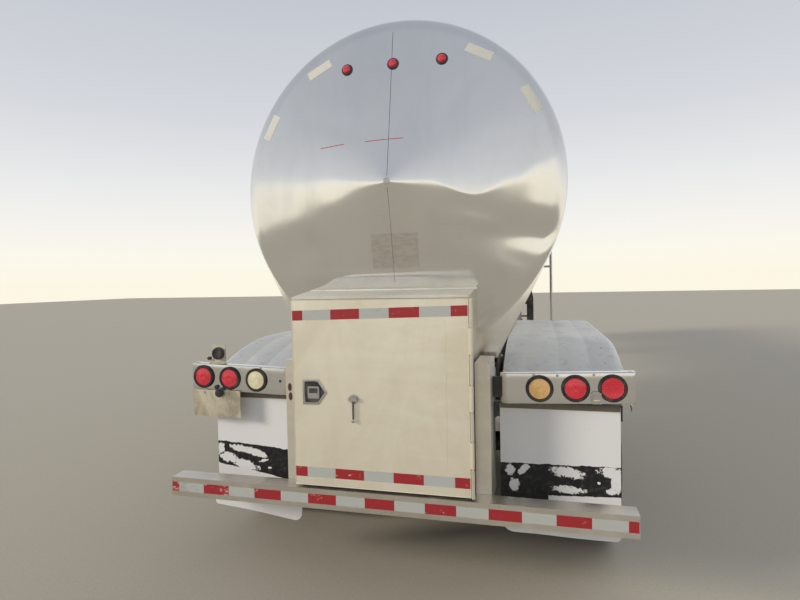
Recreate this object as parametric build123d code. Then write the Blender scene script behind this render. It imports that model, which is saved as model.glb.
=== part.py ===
from build123d import *

import math
import os

# Tank semi-trailer for liquid food: insulated round tank on a tandem running gear,
# with a rear outlet cabinet, full fenders, landing legs and a kingpin coupler.
# Millimetres. +X is the kerb side, +Y the front, +Z up. The origin is on the ground
# below the middle of the trailer.

# Overall
LENGTH = 12190.0
REAR = -LENGTH / 2
FRONT = LENGTH / 2
HALF_WIDTH = 1220.0

# Tank jacket
TANK_R = 920.0
TANK_REAR_Y = REAR + 460.0
HEAD_DEPTH = 250.0
HEAD_KNUCKLE = 100.0
TANK_FRONT_Y = FRONT - HEAD_DEPTH
TANK_REAR_Z = 2150.0
TANK_SLOPE = 0.0087
BAND_WIDTH = 60.0
BAND_PROUD = 3.0
BAND_COUNT = 8
SHEET_CONE = 190.0

# Skirts that close the tank down to the frame and to the coupler
SKIRT_HALF_BOTTOM = HALF_WIDTH - 678.0
SKIRT_Z = 1190.0
SKIRT_LENGTH = 4550.0
SKIRT_SLOPE = 260.0
TRIM_WIDTH = 30.0
TRIM_PROUD = 6.0
COUPLER_HALF_BOTTOM = HALF_WIDTH - 660.0
COUPLER_LENGTH = 2350.0
COUPLER_Z = 1205.0
COUPLER_PLATE_T = 10.0
COUPLER_NOSE = 120.0
KINGPIN_R = 25.4
KINGPIN_NECK = 55.0
KINGPIN_COLLAR_R = 35.5
KINGPIN_COLLAR = 29.0
KINGPIN_SETBACK = 915.0

# Frame under the rear of the tank
RAIL_X = HALF_WIDTH - 810.0
RAIL_WIDTH = 80.0
RAIL_Z = 1000.0
RAIL_WEB = 10.0
RAIL_LENGTH = 4560.0
CROSS_COUNT = 6
CROSS_W = 100.0
SIDE_X = SKIRT_HALF_BOTTOM + 3.0
SIDE_T = 8.0
SLOT_COUNT = 9

# Running gear
AXLE_1_Y = REAR + 1150.0
AXLE_SPREAD = 1245.0
AXLE_YS = (AXLE_1_Y, AXLE_1_Y + AXLE_SPREAD)
AXLE_R = 63.5
TYRE_R = 525.0
TYRE_W = 280.0
BEAD_R = 286.0
DUAL_X = HALF_WIDTH - 312.0
DUAL_GAP = 343.0
DISC_T = 22.0
RIM_W = 232.0
RIM_T = 12.0
HAND_HOLES = 10
HAND_HOLE_R = 26.0
HAND_HOLE_CIRCLE = 178.0
HUB_R = 108.0
DRUM_R = 212.0
DRUM_X = DUAL_X - 298.0
DRUM_T = 14.0
SPINDLE_R = 40.0
RUN_GAP = 0.3
SPINDLE_END = DUAL_X + 102.0
HANGER_AHEAD = 430.0
BAG_BEHIND = 370.0
BAG_R = 125.0
RESERVOIR_R = 118.0
RESERVOIR_LENGTH = 620.0
RESERVOIR_X = 200.0
RESERVOIR_Z = 870.0
STRAP_INSET = 100.0
STRAP_W = 40.0

# Fenders
FENDER_IN = SIDE_X + 30.0
FENDER_OUT = HALF_WIDTH - 4.0
FENDER_T = 4.0
FENDER_TOP = 1230.0
FENDER_LIP = 42.0
FENDER_REAR_Y = REAR + 318.0
FENDER_CROWN_Y = REAR + 1150.0
FENDER_FLAT = 1400.0
FENDER_REAR_R = 1600.0
FENDER_FRONT_R = 700.0
FENDER_FRONT_DEG = 12.0
BRACKET_W = 60.0
BRACKET_H = 46.0

# Rear cabinet
CAB_HALF = HALF_WIDTH - 775.0
CAB_WALL = 12.0
DOOR_HALF = CAB_HALF + 10.0
DOOR_T = 30.0
DOOR_Y = REAR + 18.0
DOOR_Z0 = 582.0
DOOR_Z1 = 1533.0
CAB_GAP = 4.0
ROOF_RISE = 52.0
ROOF_T = 10.0
HINGE_R = 5.0
HINGE_SPACE = 11.0
KNUCKLES = 3
HINGE_X = DOOR_HALF + 7.0
HINGE_Y = REAR + 14.0

# Rear bumper, posts and lamps
BUMPER_HALF = HALF_WIDTH - 30.0
BUMPER_SIDE = 102.0
BUMPER_Z0 = 469.0
BUMPER_WALL = 6.0
POST_X = HALF_WIDTH - 755.0
POST_W = 75.0
POST_Y0 = REAR + 104.0
POST_Y1 = REAR + 380.0
POST_TOP = 1212.0
LAMP_R = 50.0
GROMMET_R = 62.0
LAMP_PITCH = 168.0
LAMP_X0 = HALF_WIDTH - 450.0
LAMP_Z = 1080.0
PANEL_Y = REAR + 200.0
PANEL_X0 = POST_X + POST_W + 16.0
PANEL_X1 = HALF_WIDTH - 34.0
PANEL_H = 152.0
PANEL_T = 3.0
PANEL_DEPTH = 55.0
PANEL_TILT = 2.0
FLAP_X0 = POST_X + POST_W + 32.0
FLAP_X1 = HALF_WIDTH - 70.0
FLAP_Y = REAR + 268.0
FLAP_T = 9.0
FLAP_Z0 = 322.0
FLAP_Z1 = 985.0
FLAP_CORNER = 70.0

# Landing legs
LEG_Y = FRONT - KINGPIN_SETBACK - 2650.0
LEG_X = HALF_WIDTH - 610.0
LEG_SIDE = 130.0
LEG_INNER = 100.0
LEG_Z0 = 430.0
LEG_TOP = 1195.0
SHOE_SIDE = 270.0
SHOE_T = 26.0
CRANK_Z = 880.0

# Manhole, walkway and ladder
MANHOLE_Y = 150.0
NECK_R = 268.0
NECK_WALL = 14.0
NECK_TOP = 150.0
LID_R = 292.0
LID_T = 12.0
LID_DOME = 60.0
FLANGE_OVER = 36.0
CLAMP_DEGS = (15, 165, 215, 270, 325)
WALK_HALF = 470.0
WALK_LENGTH = 1500.0
FOOT_W = 40.0
STILE_X = TANK_R + 48.0
STILE_R = 16.0
STILE_GAP = 380.0
RUNG_R = 11.0
LADDER_BEND = 58.0
RUNG_PITCH = 300.0
LADDER_Z0 = 800.0

BODIES = {}


def add(name, *shapes):
    """Keeps the solids of one node under its name."""
    found = []
    for shape in shapes:
        found.extend(shape.solids())
    BODIES.setdefault(name, []).extend(found)


def block(x0, x1, y0, y1, z0, z1):
    """A box between two corners."""
    box = Box(x1 - x0, y1 - y0, z1 - z0)
    return Pos((x0 + x1) / 2, (y0 + y1) / 2, (z0 + z1) / 2) * box


def rod(start, end, radius):
    """A round bar between two points."""
    a, b = Vector(*start), Vector(*end)
    plane = Plane(origin=a, z_dir=b - a)
    return extrude(plane * Circle(radius), amount=(b - a).length)


def side_prism(points, x0, x1):
    """A prism along X from an outline of (y, z) points."""
    face = make_face(Polyline(*points, close=True))
    return extrude(Plane.YZ.offset(x0) * face, amount=x1 - x0)


def end_prism(points, y0, y1):
    """A prism along Y from an outline of (x, z) points."""
    plane = Plane(origin=(0, y0, 0), x_dir=(1, 0, 0), z_dir=(0, -1, 0))
    face = make_face(Polyline(*points, close=True))
    return extrude(plane * face, amount=-(y1 - y0))


def mirrored(shape):
    """The same shape on the road side."""
    return mirror(shape, about=Plane.YZ)


def both(shape):
    """The shape and its mirror image."""
    return [shape, mirrored(shape)]


def tank_z(y):
    """Height of the tank's axis, which rises towards the front."""
    return TANK_REAR_Z + TANK_SLOPE * (y - TANK_REAR_Y)


def end_plane(y):
    return Plane(origin=(0, y, 0), x_dir=(1, 0, 0), z_dir=(0, -1, 0))


def tank_shell(radius, y0, y1):
    """The tank's jacket from y0 to y1, a round barrel whose axis rises to the front."""
    plane = Plane(origin=(0, y0, tank_z(y0)), x_dir=(1, 0, 0), z_dir=(0, 1, 0))
    run = Vector(0, y1 - y0, tank_z(y1) - tank_z(y0))
    return extrude(plane * Circle(radius), amount=run.length, dir=run.normalized())


def tangent_point(radius, centre_z, x, z):
    """Where a line from (x, z) below the tank touches a circle about its axis."""
    reach = math.hypot(x, centre_z - z)
    angle = math.atan2(z - centre_z, x) + math.acos(radius / reach)
    return radius * math.cos(angle), centre_z + radius * math.sin(angle)


def drop_face(y, half_bottom, bottom_z, proud=0.0):
    """The drop-shaped outline of tank and skirt at y, grown by proud."""
    centre_z = tank_z(y)
    radius = TANK_R + proud
    tx, tz = tangent_point(radius, centre_z, half_bottom + proud, bottom_z)
    bx = half_bottom + proud
    edges = [
        ThreePointArc((tx, tz), (0, centre_z + radius), (-tx, tz)),
        Line((-tx, tz), (-bx, bottom_z)),
        Line((-bx, bottom_z), (bx, bottom_z)),
        Line((bx, bottom_z), (tx, tz)),
    ]
    return end_plane(y) * make_face(edges)


def skirt_solid(y0, y1, half_bottom, bottom_z):
    """The wedge between the tank and its skirt's flat sides, from y0 to y1."""
    sections = []
    for y in (y0, y1):
        tx, tz = tangent_point(TANK_R, tank_z(y), half_bottom, bottom_z)
        points = [(tx, tz), (half_bottom, bottom_z), (-half_bottom, bottom_z), (-tx, tz)]
        sections.append(end_plane(y) * make_face(Polyline(*points, close=True)))
    return loft(sections, ruled=True) - tank_shell(TANK_R, y0 - 1, y1 + 1)


def walk_feet():
    """The low corners of the walkway's four feet, as (x, y)."""
    y0 = MANHOLE_Y - WALK_LENGTH / 2
    y1 = MANHOLE_Y + WALK_LENGTH / 2 - FOOT_W
    return [(x, y) for x in (-WALK_HALF, WALK_HALF + 20) for y in (y0, y1)]


def make_tank():
    barrel = tank_shell(TANK_R, TANK_REAR_Y, TANK_FRONT_Y)
    inner = TANK_R - HEAD_KNUCKLE
    turn = math.pi / 2 - 2 * math.atan2(HEAD_DEPTH - HEAD_KNUCKLE, inner)
    joint = (inner + HEAD_KNUCKLE * math.cos(turn), HEAD_KNUCKLE * math.sin(turn))
    knuckle = (inner + HEAD_KNUCKLE * math.cos(turn / 2), HEAD_KNUCKLE * math.sin(turn / 2))
    crown_r = inner / math.cos(turn) + HEAD_KNUCKLE
    half = (math.pi / 2 - turn) / 2
    crown = (crown_r * math.sin(half), HEAD_DEPTH - crown_r * (1 - math.cos(half)))
    edges = [
        Line((0, 0), (TANK_R, 0)),
        ThreePointArc((TANK_R, 0), knuckle, joint),
        ThreePointArc(joint, crown, (0, HEAD_DEPTH)),
        Line((0, HEAD_DEPTH), (0, 0)),
    ]
    head = revolve(Plane.XY * make_face(edges), axis=Axis.Y)
    head = Pos(0, TANK_FRONT_Y, tank_z(TANK_FRONT_Y)) * head
    add("tank_barrel", barrel)
    add("front_head", head)

    cone = [(0, -SHEET_CONE), (TANK_R, 0), (0, 0)]
    rear_sheet = revolve(Plane.XY * make_face(Polyline(*cone, close=True)), axis=Axis.Y)
    rear_sheet = Pos(0, TANK_REAR_Y, TANK_REAR_Z) * rear_sheet
    add("rear_sheet", rear_sheet)

    outer = drop_face(TANK_REAR_Y, SKIRT_HALF_BOTTOM, SKIRT_Z, TRIM_PROUD)
    trim = extrude(outer, amount=-TRIM_WIDTH)
    trim -= extrude(drop_face(TANK_REAR_Y, SKIRT_HALF_BOTTOM, SKIRT_Z), amount=-TRIM_WIDTH)
    trim -= block(-2000, 2000, REAR, FRONT, 0, SKIRT_Z + 1)
    trim -= barrel
    add("edge_trim", trim)

    first = TANK_REAR_Y + 1400.0
    pitch = (TANK_FRONT_Y - BAND_WIDTH - 20.0 - first) / (BAND_COUNT - 1)
    skirt_end = TANK_REAR_Y + SKIRT_LENGTH + 5
    skirt_top = tangent_point(TANK_R, tank_z(skirt_end), SKIRT_HALF_BOTTOM, SKIRT_Z)[1] + 40
    coupler_top = tangent_point(TANK_R, tank_z(FRONT), COUPLER_HALF_BOTTOM, COUPLER_Z)[1] + 40
    clear = block(-2000, 2000, REAR, skirt_end, 0, skirt_top)
    clear += block(-2000, 2000, FRONT - COUPLER_LENGTH - 5, FRONT, 0, coupler_top)
    clear += rod((0, MANHOLE_Y, TANK_REAR_Z), (0, MANHOLE_Y, 4000), NECK_R + 5)
    clear += block(-TANK_R, TANK_R, LEG_Y - 95, LEG_Y + 95, 0, LEG_TOP + 300)
    for x, y in walk_feet():
        clear += block(x - 5, x + FOOT_W + 5, y - 5, y + FOOT_W + 5, TANK_REAR_Z, 4000)
    for y in (MANHOLE_Y - STILE_GAP / 2, MANHOLE_Y + STILE_GAP / 2):
        clear += block(0, STILE_X, y - 20, y + 20, TANK_REAR_Z - TANK_R, TANK_REAR_Z + 200)
    bands = []
    for i in range(BAND_COUNT):
        y0 = first + i * pitch
        ring = tank_shell(TANK_R + BAND_PROUD, y0, y0 + BAND_WIDTH)
        ring -= tank_shell(TANK_R, y0 - 1, y0 + BAND_WIDTH + 1)
        bands.append(ring - clear)
    add("jacket_bands", *bands)
    return barrel


def make_skirts():
    y0 = TANK_REAR_Y
    y1 = TANK_REAR_Y + SKIRT_LENGTH
    skirt = skirt_solid(y0, y1, SKIRT_HALF_BOTTOM, SKIRT_Z)
    nose = [
        (y1 - SKIRT_SLOPE, SKIRT_Z - 10),
        (y1 + 10, SKIRT_Z - 10),
        (y1 + 10, SKIRT_Z + 2 * SKIRT_SLOPE),
    ]
    skirt -= side_prism(nose, -HALF_WIDTH, HALF_WIDTH)
    add("rear_skirt", skirt)

    back = FRONT - COUPLER_LENGTH
    nose_y = FRONT - COUPLER_NOSE - HEAD_DEPTH
    coupler = skirt_solid(back, nose_y, COUPLER_HALF_BOTTOM, COUPLER_Z + COUPLER_PLATE_T)
    tail = [
        (back - 10, COUPLER_Z - 10),
        (back + SKIRT_SLOPE, COUPLER_Z - 10),
        (back - 10, COUPLER_Z + 2 * SKIRT_SLOPE),
    ]
    coupler -= side_prism(tail, -HALF_WIDTH, HALF_WIDTH)
    add("coupler_skirt", coupler)
    plate = block(
        -COUPLER_HALF_BOTTOM,
        COUPLER_HALF_BOTTOM,
        back + SKIRT_SLOPE + 40,
        nose_y,
        COUPLER_Z,
        COUPLER_Z + COUPLER_PLATE_T,
    )
    pin_y = FRONT - KINGPIN_SETBACK
    hole_r = KINGPIN_COLLAR_R + 10.0
    plate_top = COUPLER_Z + COUPLER_PLATE_T
    plate -= rod((0, pin_y, COUPLER_Z - 1), (0, pin_y, plate_top + 1), hole_r)
    add("coupler_plate", plate)
    neck_z = COUPLER_Z - KINGPIN_NECK
    collar_z = neck_z - KINGPIN_COLLAR
    pin = rod((0, pin_y, neck_z), (0, pin_y, COUPLER_Z), KINGPIN_R)
    pin += rod((0, pin_y, collar_z), (0, pin_y, neck_z), KINGPIN_COLLAR_R)
    pin += rod((0, pin_y, COUPLER_Z), (0, pin_y, plate_top), hole_r - RUN_GAP)
    add("kingpin", pin)


def make_frame():
    y0 = TANK_REAR_Y + 12.0
    y1 = y0 + RAIL_LENGTH
    top = SKIRT_Z
    rail = block(RAIL_X - RAIL_WIDTH / 2, RAIL_X + RAIL_WIDTH / 2, y0, y1, RAIL_Z, top)
    rail -= block(
        RAIL_X - RAIL_WIDTH / 2 - 1,
        RAIL_X + RAIL_WIDTH / 2 - RAIL_WEB,
        y0 - 1,
        y1 + 1,
        RAIL_Z + RAIL_WEB,
        top - RAIL_WEB,
    )
    add("frame_rails", *both(rail))
    inner = RAIL_X + RAIL_WIDTH / 2 - RAIL_WEB
    pitch = (y1 - y0 - CROSS_W) / (CROSS_COUNT - 1)
    for i in range(CROSS_COUNT):
        y = y0 + i * pitch
        beam = block(-inner, inner, y, y + CROSS_W, RAIL_Z + RAIL_WEB, top - RAIL_WEB)
        add("cross_members", beam)

    side_end = y1 - SKIRT_SLOPE
    side = block(SIDE_X, SIDE_X + SIDE_T, y0, side_end, RAIL_Z, top)
    step = (side_end - y0) / SLOT_COUNT
    for i in range(SLOT_COUNT):
        centre = (SIDE_X - 1, y0 + (i + 0.5) * step, (RAIL_Z + top) / 2)
        slot = Plane(origin=centre, x_dir=(0, 1, 0), z_dir=(1, 0, 0))
        side -= extrude(slot * SlotOverall(150, 60), amount=SIDE_T + 2)
    for i in range(CROSS_COUNT):
        y = y0 + i * pitch
        if y + CROSS_W < side_end:
            side += block(RAIL_X + RAIL_WIDTH / 2, SIDE_X, y, y + 60, RAIL_Z + 30, top - 30)
    add("side_panels", *both(side))


def tyre(x, y):
    """A road tyre centred on x, with rounded shoulders and bulged side walls."""
    half = TYRE_W / 2
    bead = RIM_W / 2 - 14.5
    inside = BEAD_R + RUN_GAP
    edges = [
        Line((-bead, inside), (bead, inside)),
        Line((bead, inside), (bead, BEAD_R + 14)),
        ThreePointArc((bead, BEAD_R + 14), (half, 400), (half * 0.90, 500)),
        ThreePointArc((half * 0.90, 500), (half * 0.84, 517), (half * 0.74, TYRE_R - 3)),
        ThreePointArc((half * 0.74, TYRE_R - 3), (0, TYRE_R), (-half * 0.74, TYRE_R - 3)),
        ThreePointArc((-half * 0.74, TYRE_R - 3), (-half * 0.84, 517), (-half * 0.90, 500)),
        ThreePointArc((-half * 0.90, 500), (-half, 400), (-bead, BEAD_R + 14)),
        Line((-bead, BEAD_R + 14), (-bead, inside)),
    ]
    solid = revolve(Plane.XY * make_face(edges), axis=Axis.X)
    return Pos(x, y, TYRE_R) * solid


def rim(side):
    """One wheel of a pair about the X axis, its disc at x = 0 and its barrel towards side."""
    width = side * (RIM_W / 2 + DUAL_GAP / 2)
    start = side * (DUAL_GAP / 2 - RIM_W / 2)
    r = BEAD_R
    points = [
        (0, 112),
        (side * DISC_T, 112),
        (side * DISC_T, 215),
        (start + side * 30, r - 42),
        (width - side * 40, r - 30),
        (width - side * 28, r - 14),
        (width - side * 4, r - 10),
        (width, r + 10),
        (width - side * 10, r + 12),
        (width - side * 14, r),
        (start + side * 14, r),
        (start + side * 10, r + 12),
        (start, r + 10),
        (start, r - 22),
        (0, 232),
    ]
    return revolve(Plane.XY * make_face(Polyline(*points, close=True)), axis=Axis.X)


def make_wheel(name, y, side):
    """A pair of wheels on one hub at the kerb side, mirrored for the road side."""
    outer = tyre(DUAL_X + DUAL_GAP / 2, y)
    inner = tyre(DUAL_X - DUAL_GAP / 2, y)
    pair = rim(1) + rim(-1)
    for i in range(HAND_HOLES):
        hole = Pos(-2 * DISC_T, HAND_HOLE_CIRCLE, 0) * (Rot(0, 90, 0) * Cylinder(HAND_HOLE_R, 400))
        pair -= Rot(360.0 / HAND_HOLES * i, 0, 0) * hole
    pair = Pos(DUAL_X, y, TYRE_R) * pair
    bore = SPINDLE_R + RUN_GAP
    hub_points = [
        (DRUM_X, DRUM_R),
        (DRUM_X, DRUM_R - DRUM_T),
        (DUAL_X - DISC_T - 70, DRUM_R - DRUM_T),
        (DUAL_X - DISC_T - 70, HUB_R - 18),
        (DUAL_X - 200, HUB_R - 18),
        (DUAL_X - 200, bore),
        (SPINDLE_END + 12, bore),
        (SPINDLE_END + 12, 0),
        (SPINDLE_END + 40, 0),
        (SPINDLE_END + 36, 60),
        (SPINDLE_END + 12, 72),
        (DUAL_X + 60, 82),
        (DUAL_X + 45, HUB_R),
        (DUAL_X - DISC_T, HUB_R),
        (DUAL_X - DISC_T, DRUM_R),
    ]
    hub = revolve(Plane.XY * make_face(Polyline(*hub_points, close=True)), axis=Axis.X)
    hub = Pos(0, y, TYRE_R) * hub
    turn = mirrored if side < 0 else (lambda shape: shape)
    add("tyres_" + name, turn(outer), turn(inner))
    add("rims_" + name, turn(pair))
    add("rims_" + name, turn(hub))


def make_axle(y):
    end = DRUM_X - 14.0
    beam = rod((-end, y, TYRE_R), (end, y, TYRE_R), AXLE_R)
    for side in (-1, 1):
        beam += rod((side * end, y, TYRE_R), (side * SPINDLE_END, y, TYRE_R), SPINDLE_R)
        beam += rod((side * (end - 8), y, TYRE_R), (side * end, y, TYRE_R), DRUM_R - 20)
        x = side * RAIL_X
        beam += block(x - 45, x + 45, y - 70, y + 70, TYRE_R, 690)
    add("axles", beam)

    chambers = []
    for side in (-1, 1):
        x = side * (RAIL_X - 170)
        can = rod((x, y + 110, 560), (x, y + 300, 560), 82)
        can += rod((x, y + 195, 560), (x, y + 215, 560), 92)
        can += block(x - 25, x + 25, y + AXLE_R, y + 112, 520, 600)
        chambers.append(can)
    add("brake_chambers", *chambers)

    arm_points = [
        (y + HANGER_AHEAD, 850),
        (y + HANGER_AHEAD + 45, 810),
        (y + HANGER_AHEAD, 765),
        (y + 90, 690),
        (y - 90, 690),
        (y - BAG_BEHIND - 110, 715),
        (y - BAG_BEHIND - 110, 760),
        (y - 60, 778),
        (y + 60, 785),
    ]
    arm = side_prism(arm_points, RAIL_X - 38, RAIL_X + 38)
    pivot = rod((RAIL_X - 200, y + HANGER_AHEAD, 808), (RAIL_X + 200, y + HANGER_AHEAD, 808), 22)
    arm -= pivot
    add("trailing_arms", *both(arm))

    cheek = [
        (y + HANGER_AHEAD - 130, RAIL_Z),
        (y + HANGER_AHEAD - 45, 760),
        (y + HANGER_AHEAD + 45, 760),
        (y + HANGER_AHEAD + 90, RAIL_Z),
    ]
    hanger = side_prism(cheek, RAIL_X - 52, RAIL_X - 40)
    hanger += side_prism(cheek, RAIL_X + 40, RAIL_X + 52)
    hanger += rod((RAIL_X - 62, y + HANGER_AHEAD, 808), (RAIL_X + 62, y + HANGER_AHEAD, 808), 22)
    hanger += block(RAIL_X - 52, RAIL_X + 52, y + HANGER_AHEAD - 122, y + HANGER_AHEAD + 86, 990, RAIL_Z)
    add("suspension_hangers", *both(hanger))

    bag_y = y - BAG_BEHIND
    z0, z1 = 760.0, RAIL_Z
    mid = (z0 + z1) / 2
    edges = [
        Line((0, z0), (BAG_R - 45, z0)),
        Line((BAG_R - 45, z0), (BAG_R - 45, z0 + 12)),
        ThreePointArc((BAG_R - 45, z0 + 12), (BAG_R, (z0 + mid) / 2), (BAG_R - 30, mid)),
        ThreePointArc((BAG_R - 30, mid), (BAG_R, (z1 + mid) / 2), (BAG_R - 45, z1 - 12)),
        Line((BAG_R - 45, z1 - 12), (BAG_R - 45, z1)),
        Line((BAG_R - 45, z1), (0, z1)),
        Line((0, z1), (0, z0)),
    ]
    bag = revolve(Plane.XZ * make_face(edges), axis=Axis.Z)
    bag = Pos(RAIL_X, bag_y, 0) * bag
    bag -= arm
    add("air_springs", *both(bag))

    x = RAIL_X - 90
    shock = rod((x, y - 110, 700), (x, y + 60, RAIL_Z - 40), 34)
    shock += rod((x, y - 110, 700), (RAIL_X - 38, y - 110, 730), 14)
    shock += rod((x, y + 60, RAIL_Z - 40), (RAIL_X - 60, y + 60, RAIL_Z), 14)
    shock -= arm
    shock -= block(0, HALF_WIDTH, REAR, FRONT, RAIL_Z, 2000)
    add("shock_absorbers", *both(shock))


def fender_outline(depth):
    """The fender's side outline: a long rear curve, a flat top and a short front curve."""
    y1, y2 = FENDER_CROWN_Y, FENDER_CROWN_Y + FENDER_FLAT
    zr, zf = FENDER_TOP - FENDER_REAR_R, FENDER_TOP - FENDER_FRONT_R
    rear_deg = 90 + math.degrees(math.asin((y1 - FENDER_REAR_Y) / FENDER_REAR_R))
    inner_r, inner_f = FENDER_REAR_R - depth, FENDER_FRONT_R - depth

    def on(cy, cz, r, deg):
        return cy + r * math.cos(math.radians(deg)), cz + r * math.sin(math.radians(deg))

    a = on(y1, zr, FENDER_REAR_R, rear_deg)
    a_mid = on(y1, zr, FENDER_REAR_R, (rear_deg + 90) / 2)
    d = on(y2, zf, FENDER_FRONT_R, FENDER_FRONT_DEG)
    d_mid = on(y2, zf, FENDER_FRONT_R, (FENDER_FRONT_DEG + 90) / 2)
    e = on(y2, zf, inner_f, FENDER_FRONT_DEG)
    e_mid = on(y2, zf, inner_f, (FENDER_FRONT_DEG + 90) / 2)
    h = on(y1, zr, inner_r, rear_deg)
    h_mid = on(y1, zr, inner_r, (rear_deg + 90) / 2)
    top, low = FENDER_TOP, FENDER_TOP - depth
    return [
        ThreePointArc(a, a_mid, (y1, top)),
        Line((y1, top), (y2, top)),
        ThreePointArc((y2, top), d_mid, d),
        Line(d, e),
        ThreePointArc(e, e_mid, (y2, low)),
        Line((y2, low), (y1, low)),
        ThreePointArc((y1, low), h_mid, h),
        Line(h, a),
    ]


def make_fenders():
    def band(depth, x0, x1):
        face = make_face(fender_outline(depth))
        return extrude(Plane.YZ.offset(x0) * face, amount=x1 - x0)

    fender = band(FENDER_T, FENDER_IN, FENDER_OUT)
    fender += band(FENDER_LIP, FENDER_OUT - FENDER_T, FENDER_OUT)
    add("fender_right", fender)
    add("fender_left", mirrored(fender))

    outer = SIDE_X + SIDE_T
    rear_y = AXLE_YS[0] - TYRE_R - 60
    middle_y = (AXLE_YS[0] + AXLE_YS[1]) / 2
    front_y = AXLE_YS[1] + TYRE_R + 60
    rear_drop = FENDER_CROWN_Y - rear_y + BRACKET_W / 2
    front_drop = front_y + BRACKET_W / 2 - FENDER_CROWN_Y - FENDER_FLAT
    rear_z = FENDER_TOP - FENDER_REAR_R + math.sqrt((FENDER_REAR_R - FENDER_T) ** 2 - rear_drop**2)
    front_z = FENDER_TOP - FENDER_FRONT_R + math.sqrt((FENDER_FRONT_R - FENDER_T) ** 2 - front_drop**2)
    for y, z in ((rear_y, rear_z), (middle_y, FENDER_TOP - FENDER_T), (front_y, front_z)):
        y0, y1 = y - BRACKET_W / 2, y + BRACKET_W / 2
        bar = block(outer + 17, FENDER_OUT - FENDER_T, y0, y1, z - BRACKET_H, z)
        foot_z = max(z - BRACKET_H + 8, RAIL_Z + 60)
        bar += block(outer, outer + 20, y0 - 20, y1 + 20, RAIL_Z + 20, foot_z)
        add("fender_brackets", *both(bar))


def make_cabinet():
    y0 = DOOR_Y + DOOR_T + CAB_GAP
    y1 = TANK_REAR_Y
    sheet = BODIES["rear_sheet"][0]
    roof_z0 = DOOR_Z1 + 6.0
    roof_z1 = roof_z0 + ROOF_RISE
    wall_points = [(y0, DOOR_Z0 + 3), (y1, DOOR_Z0 + 3), (y1, roof_z1), (y0, roof_z0)]
    wall = side_prism(wall_points, CAB_HALF - CAB_WALL, CAB_HALF)
    wall -= sheet
    wall = max(wall.solids(), key=lambda s: s.volume)
    add("cabinet_shell", *both(wall))

    roof_points = [
        (y0 - 10, roof_z0),
        (y1, roof_z1 + 1.3),
        (y1, roof_z1 + ROOF_T + 1.3),
        (y0 - 10, roof_z0 + ROOF_T),
    ]
    roof = side_prism(roof_points, -CAB_HALF - 12, CAB_HALF + 12) - sheet
    roof = max(roof.solids(), key=lambda s: s.volume)
    add("cabinet_shell", roof)

    floor = block(-CAB_HALF + CAB_WALL, CAB_HALF - CAB_WALL, y0, y1 - 10, DOOR_Z0 + 3, DOOR_Z0 + 15)
    add("cabinet_shell", floor)
    bulkhead = block(-CAB_HALF, CAB_HALF, y1, y1 + 10, DOOR_Z0 + 3, SKIRT_Z)
    front = block(-CAB_HALF + CAB_WALL, CAB_HALF - CAB_WALL, y1 - 10, y1, DOOR_Z0 + 3, SKIRT_Z - 1)
    add("cabinet_shell", bulkhead + front)

    door = block(-DOOR_HALF, HINGE_X - HINGE_SPACE, DOOR_Y, DOOR_Y + DOOR_T, DOOR_Z0, DOOR_Z1)
    pin = rod((HINGE_X, HINGE_Y, DOOR_Z0), (HINGE_X, HINGE_Y, DOOR_Z1), HINGE_R)
    knuckle_r = HINGE_SPACE - 2
    step = (DOOR_Z1 - DOOR_Z0) / (2 * KNUCKLES + 1)
    for i in range(2 * KNUCKLES + 1):
        z0 = DOOR_Z0 + i * step
        z1 = z0 + step
        if i % 2:
            z0, z1 = z0 + 6, z1 - 6
            door += block(HINGE_X - HINGE_SPACE - 1, HINGE_X, HINGE_Y, DOOR_Y + 2, z0, z1)
            door += rod((HINGE_X, HINGE_Y, z0), (HINGE_X, HINGE_Y, z1), knuckle_r)
        else:
            pin += rod((HINGE_X, HINGE_Y, z0), (HINGE_X, HINGE_Y, z1), knuckle_r)
            pin += block(HINGE_X - 5, HINGE_X, HINGE_Y, y0 + 5, z0, z1)
            pin += block(CAB_HALF, HINGE_X, y0, y0 + 5, z0, z1)
            pin += block(CAB_HALF, CAB_HALF + 4, y0, y0 + 60, z0, z1)
    bore = HINGE_R + RUN_GAP
    door -= rod((HINGE_X, HINGE_Y, DOOR_Z0 - 1), (HINGE_X, HINGE_Y, DOOR_Z1 + 1), bore)
    add("cabinet_door", door)
    add("cabinet_hinge", pin)

    latch_points = [(-60, 62), (25, 66), (68, 0), (25, -60), (-60, -62)]
    cx, cz = 105.0 - CAB_HALF, 1063.0
    outline = [(cx + x, cz + z) for x, z in latch_points]
    inset = [(cx + 0.8 * x, cz + 0.8 * z) for x, z in latch_points]
    frame_plate = end_prism(outline, DOOR_Y - 5, DOOR_Y)
    frame_plate -= end_prism(inset, DOOR_Y - 6, DOOR_Y - 2)
    frame_plate += block(cx - 34, cx + 30, DOOR_Y - 9, DOOR_Y - 2, cz - 30, cz + 28)
    add("door_fittings", frame_plate)
    hx, hz = -128.0, 1055.0
    handle = rod((hx, DOOR_Y - 4, hz), (hx, DOOR_Y, hz), 24)
    handle += block(hx - 24, hx + 24, DOOR_Y - 20, DOOR_Y - 4, hz - 8, hz + 12)
    handle += block(hx - 6, hx + 6, DOOR_Y - 18, DOOR_Y - 10, hz - 125, hz)
    add("door_fittings", handle)


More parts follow.
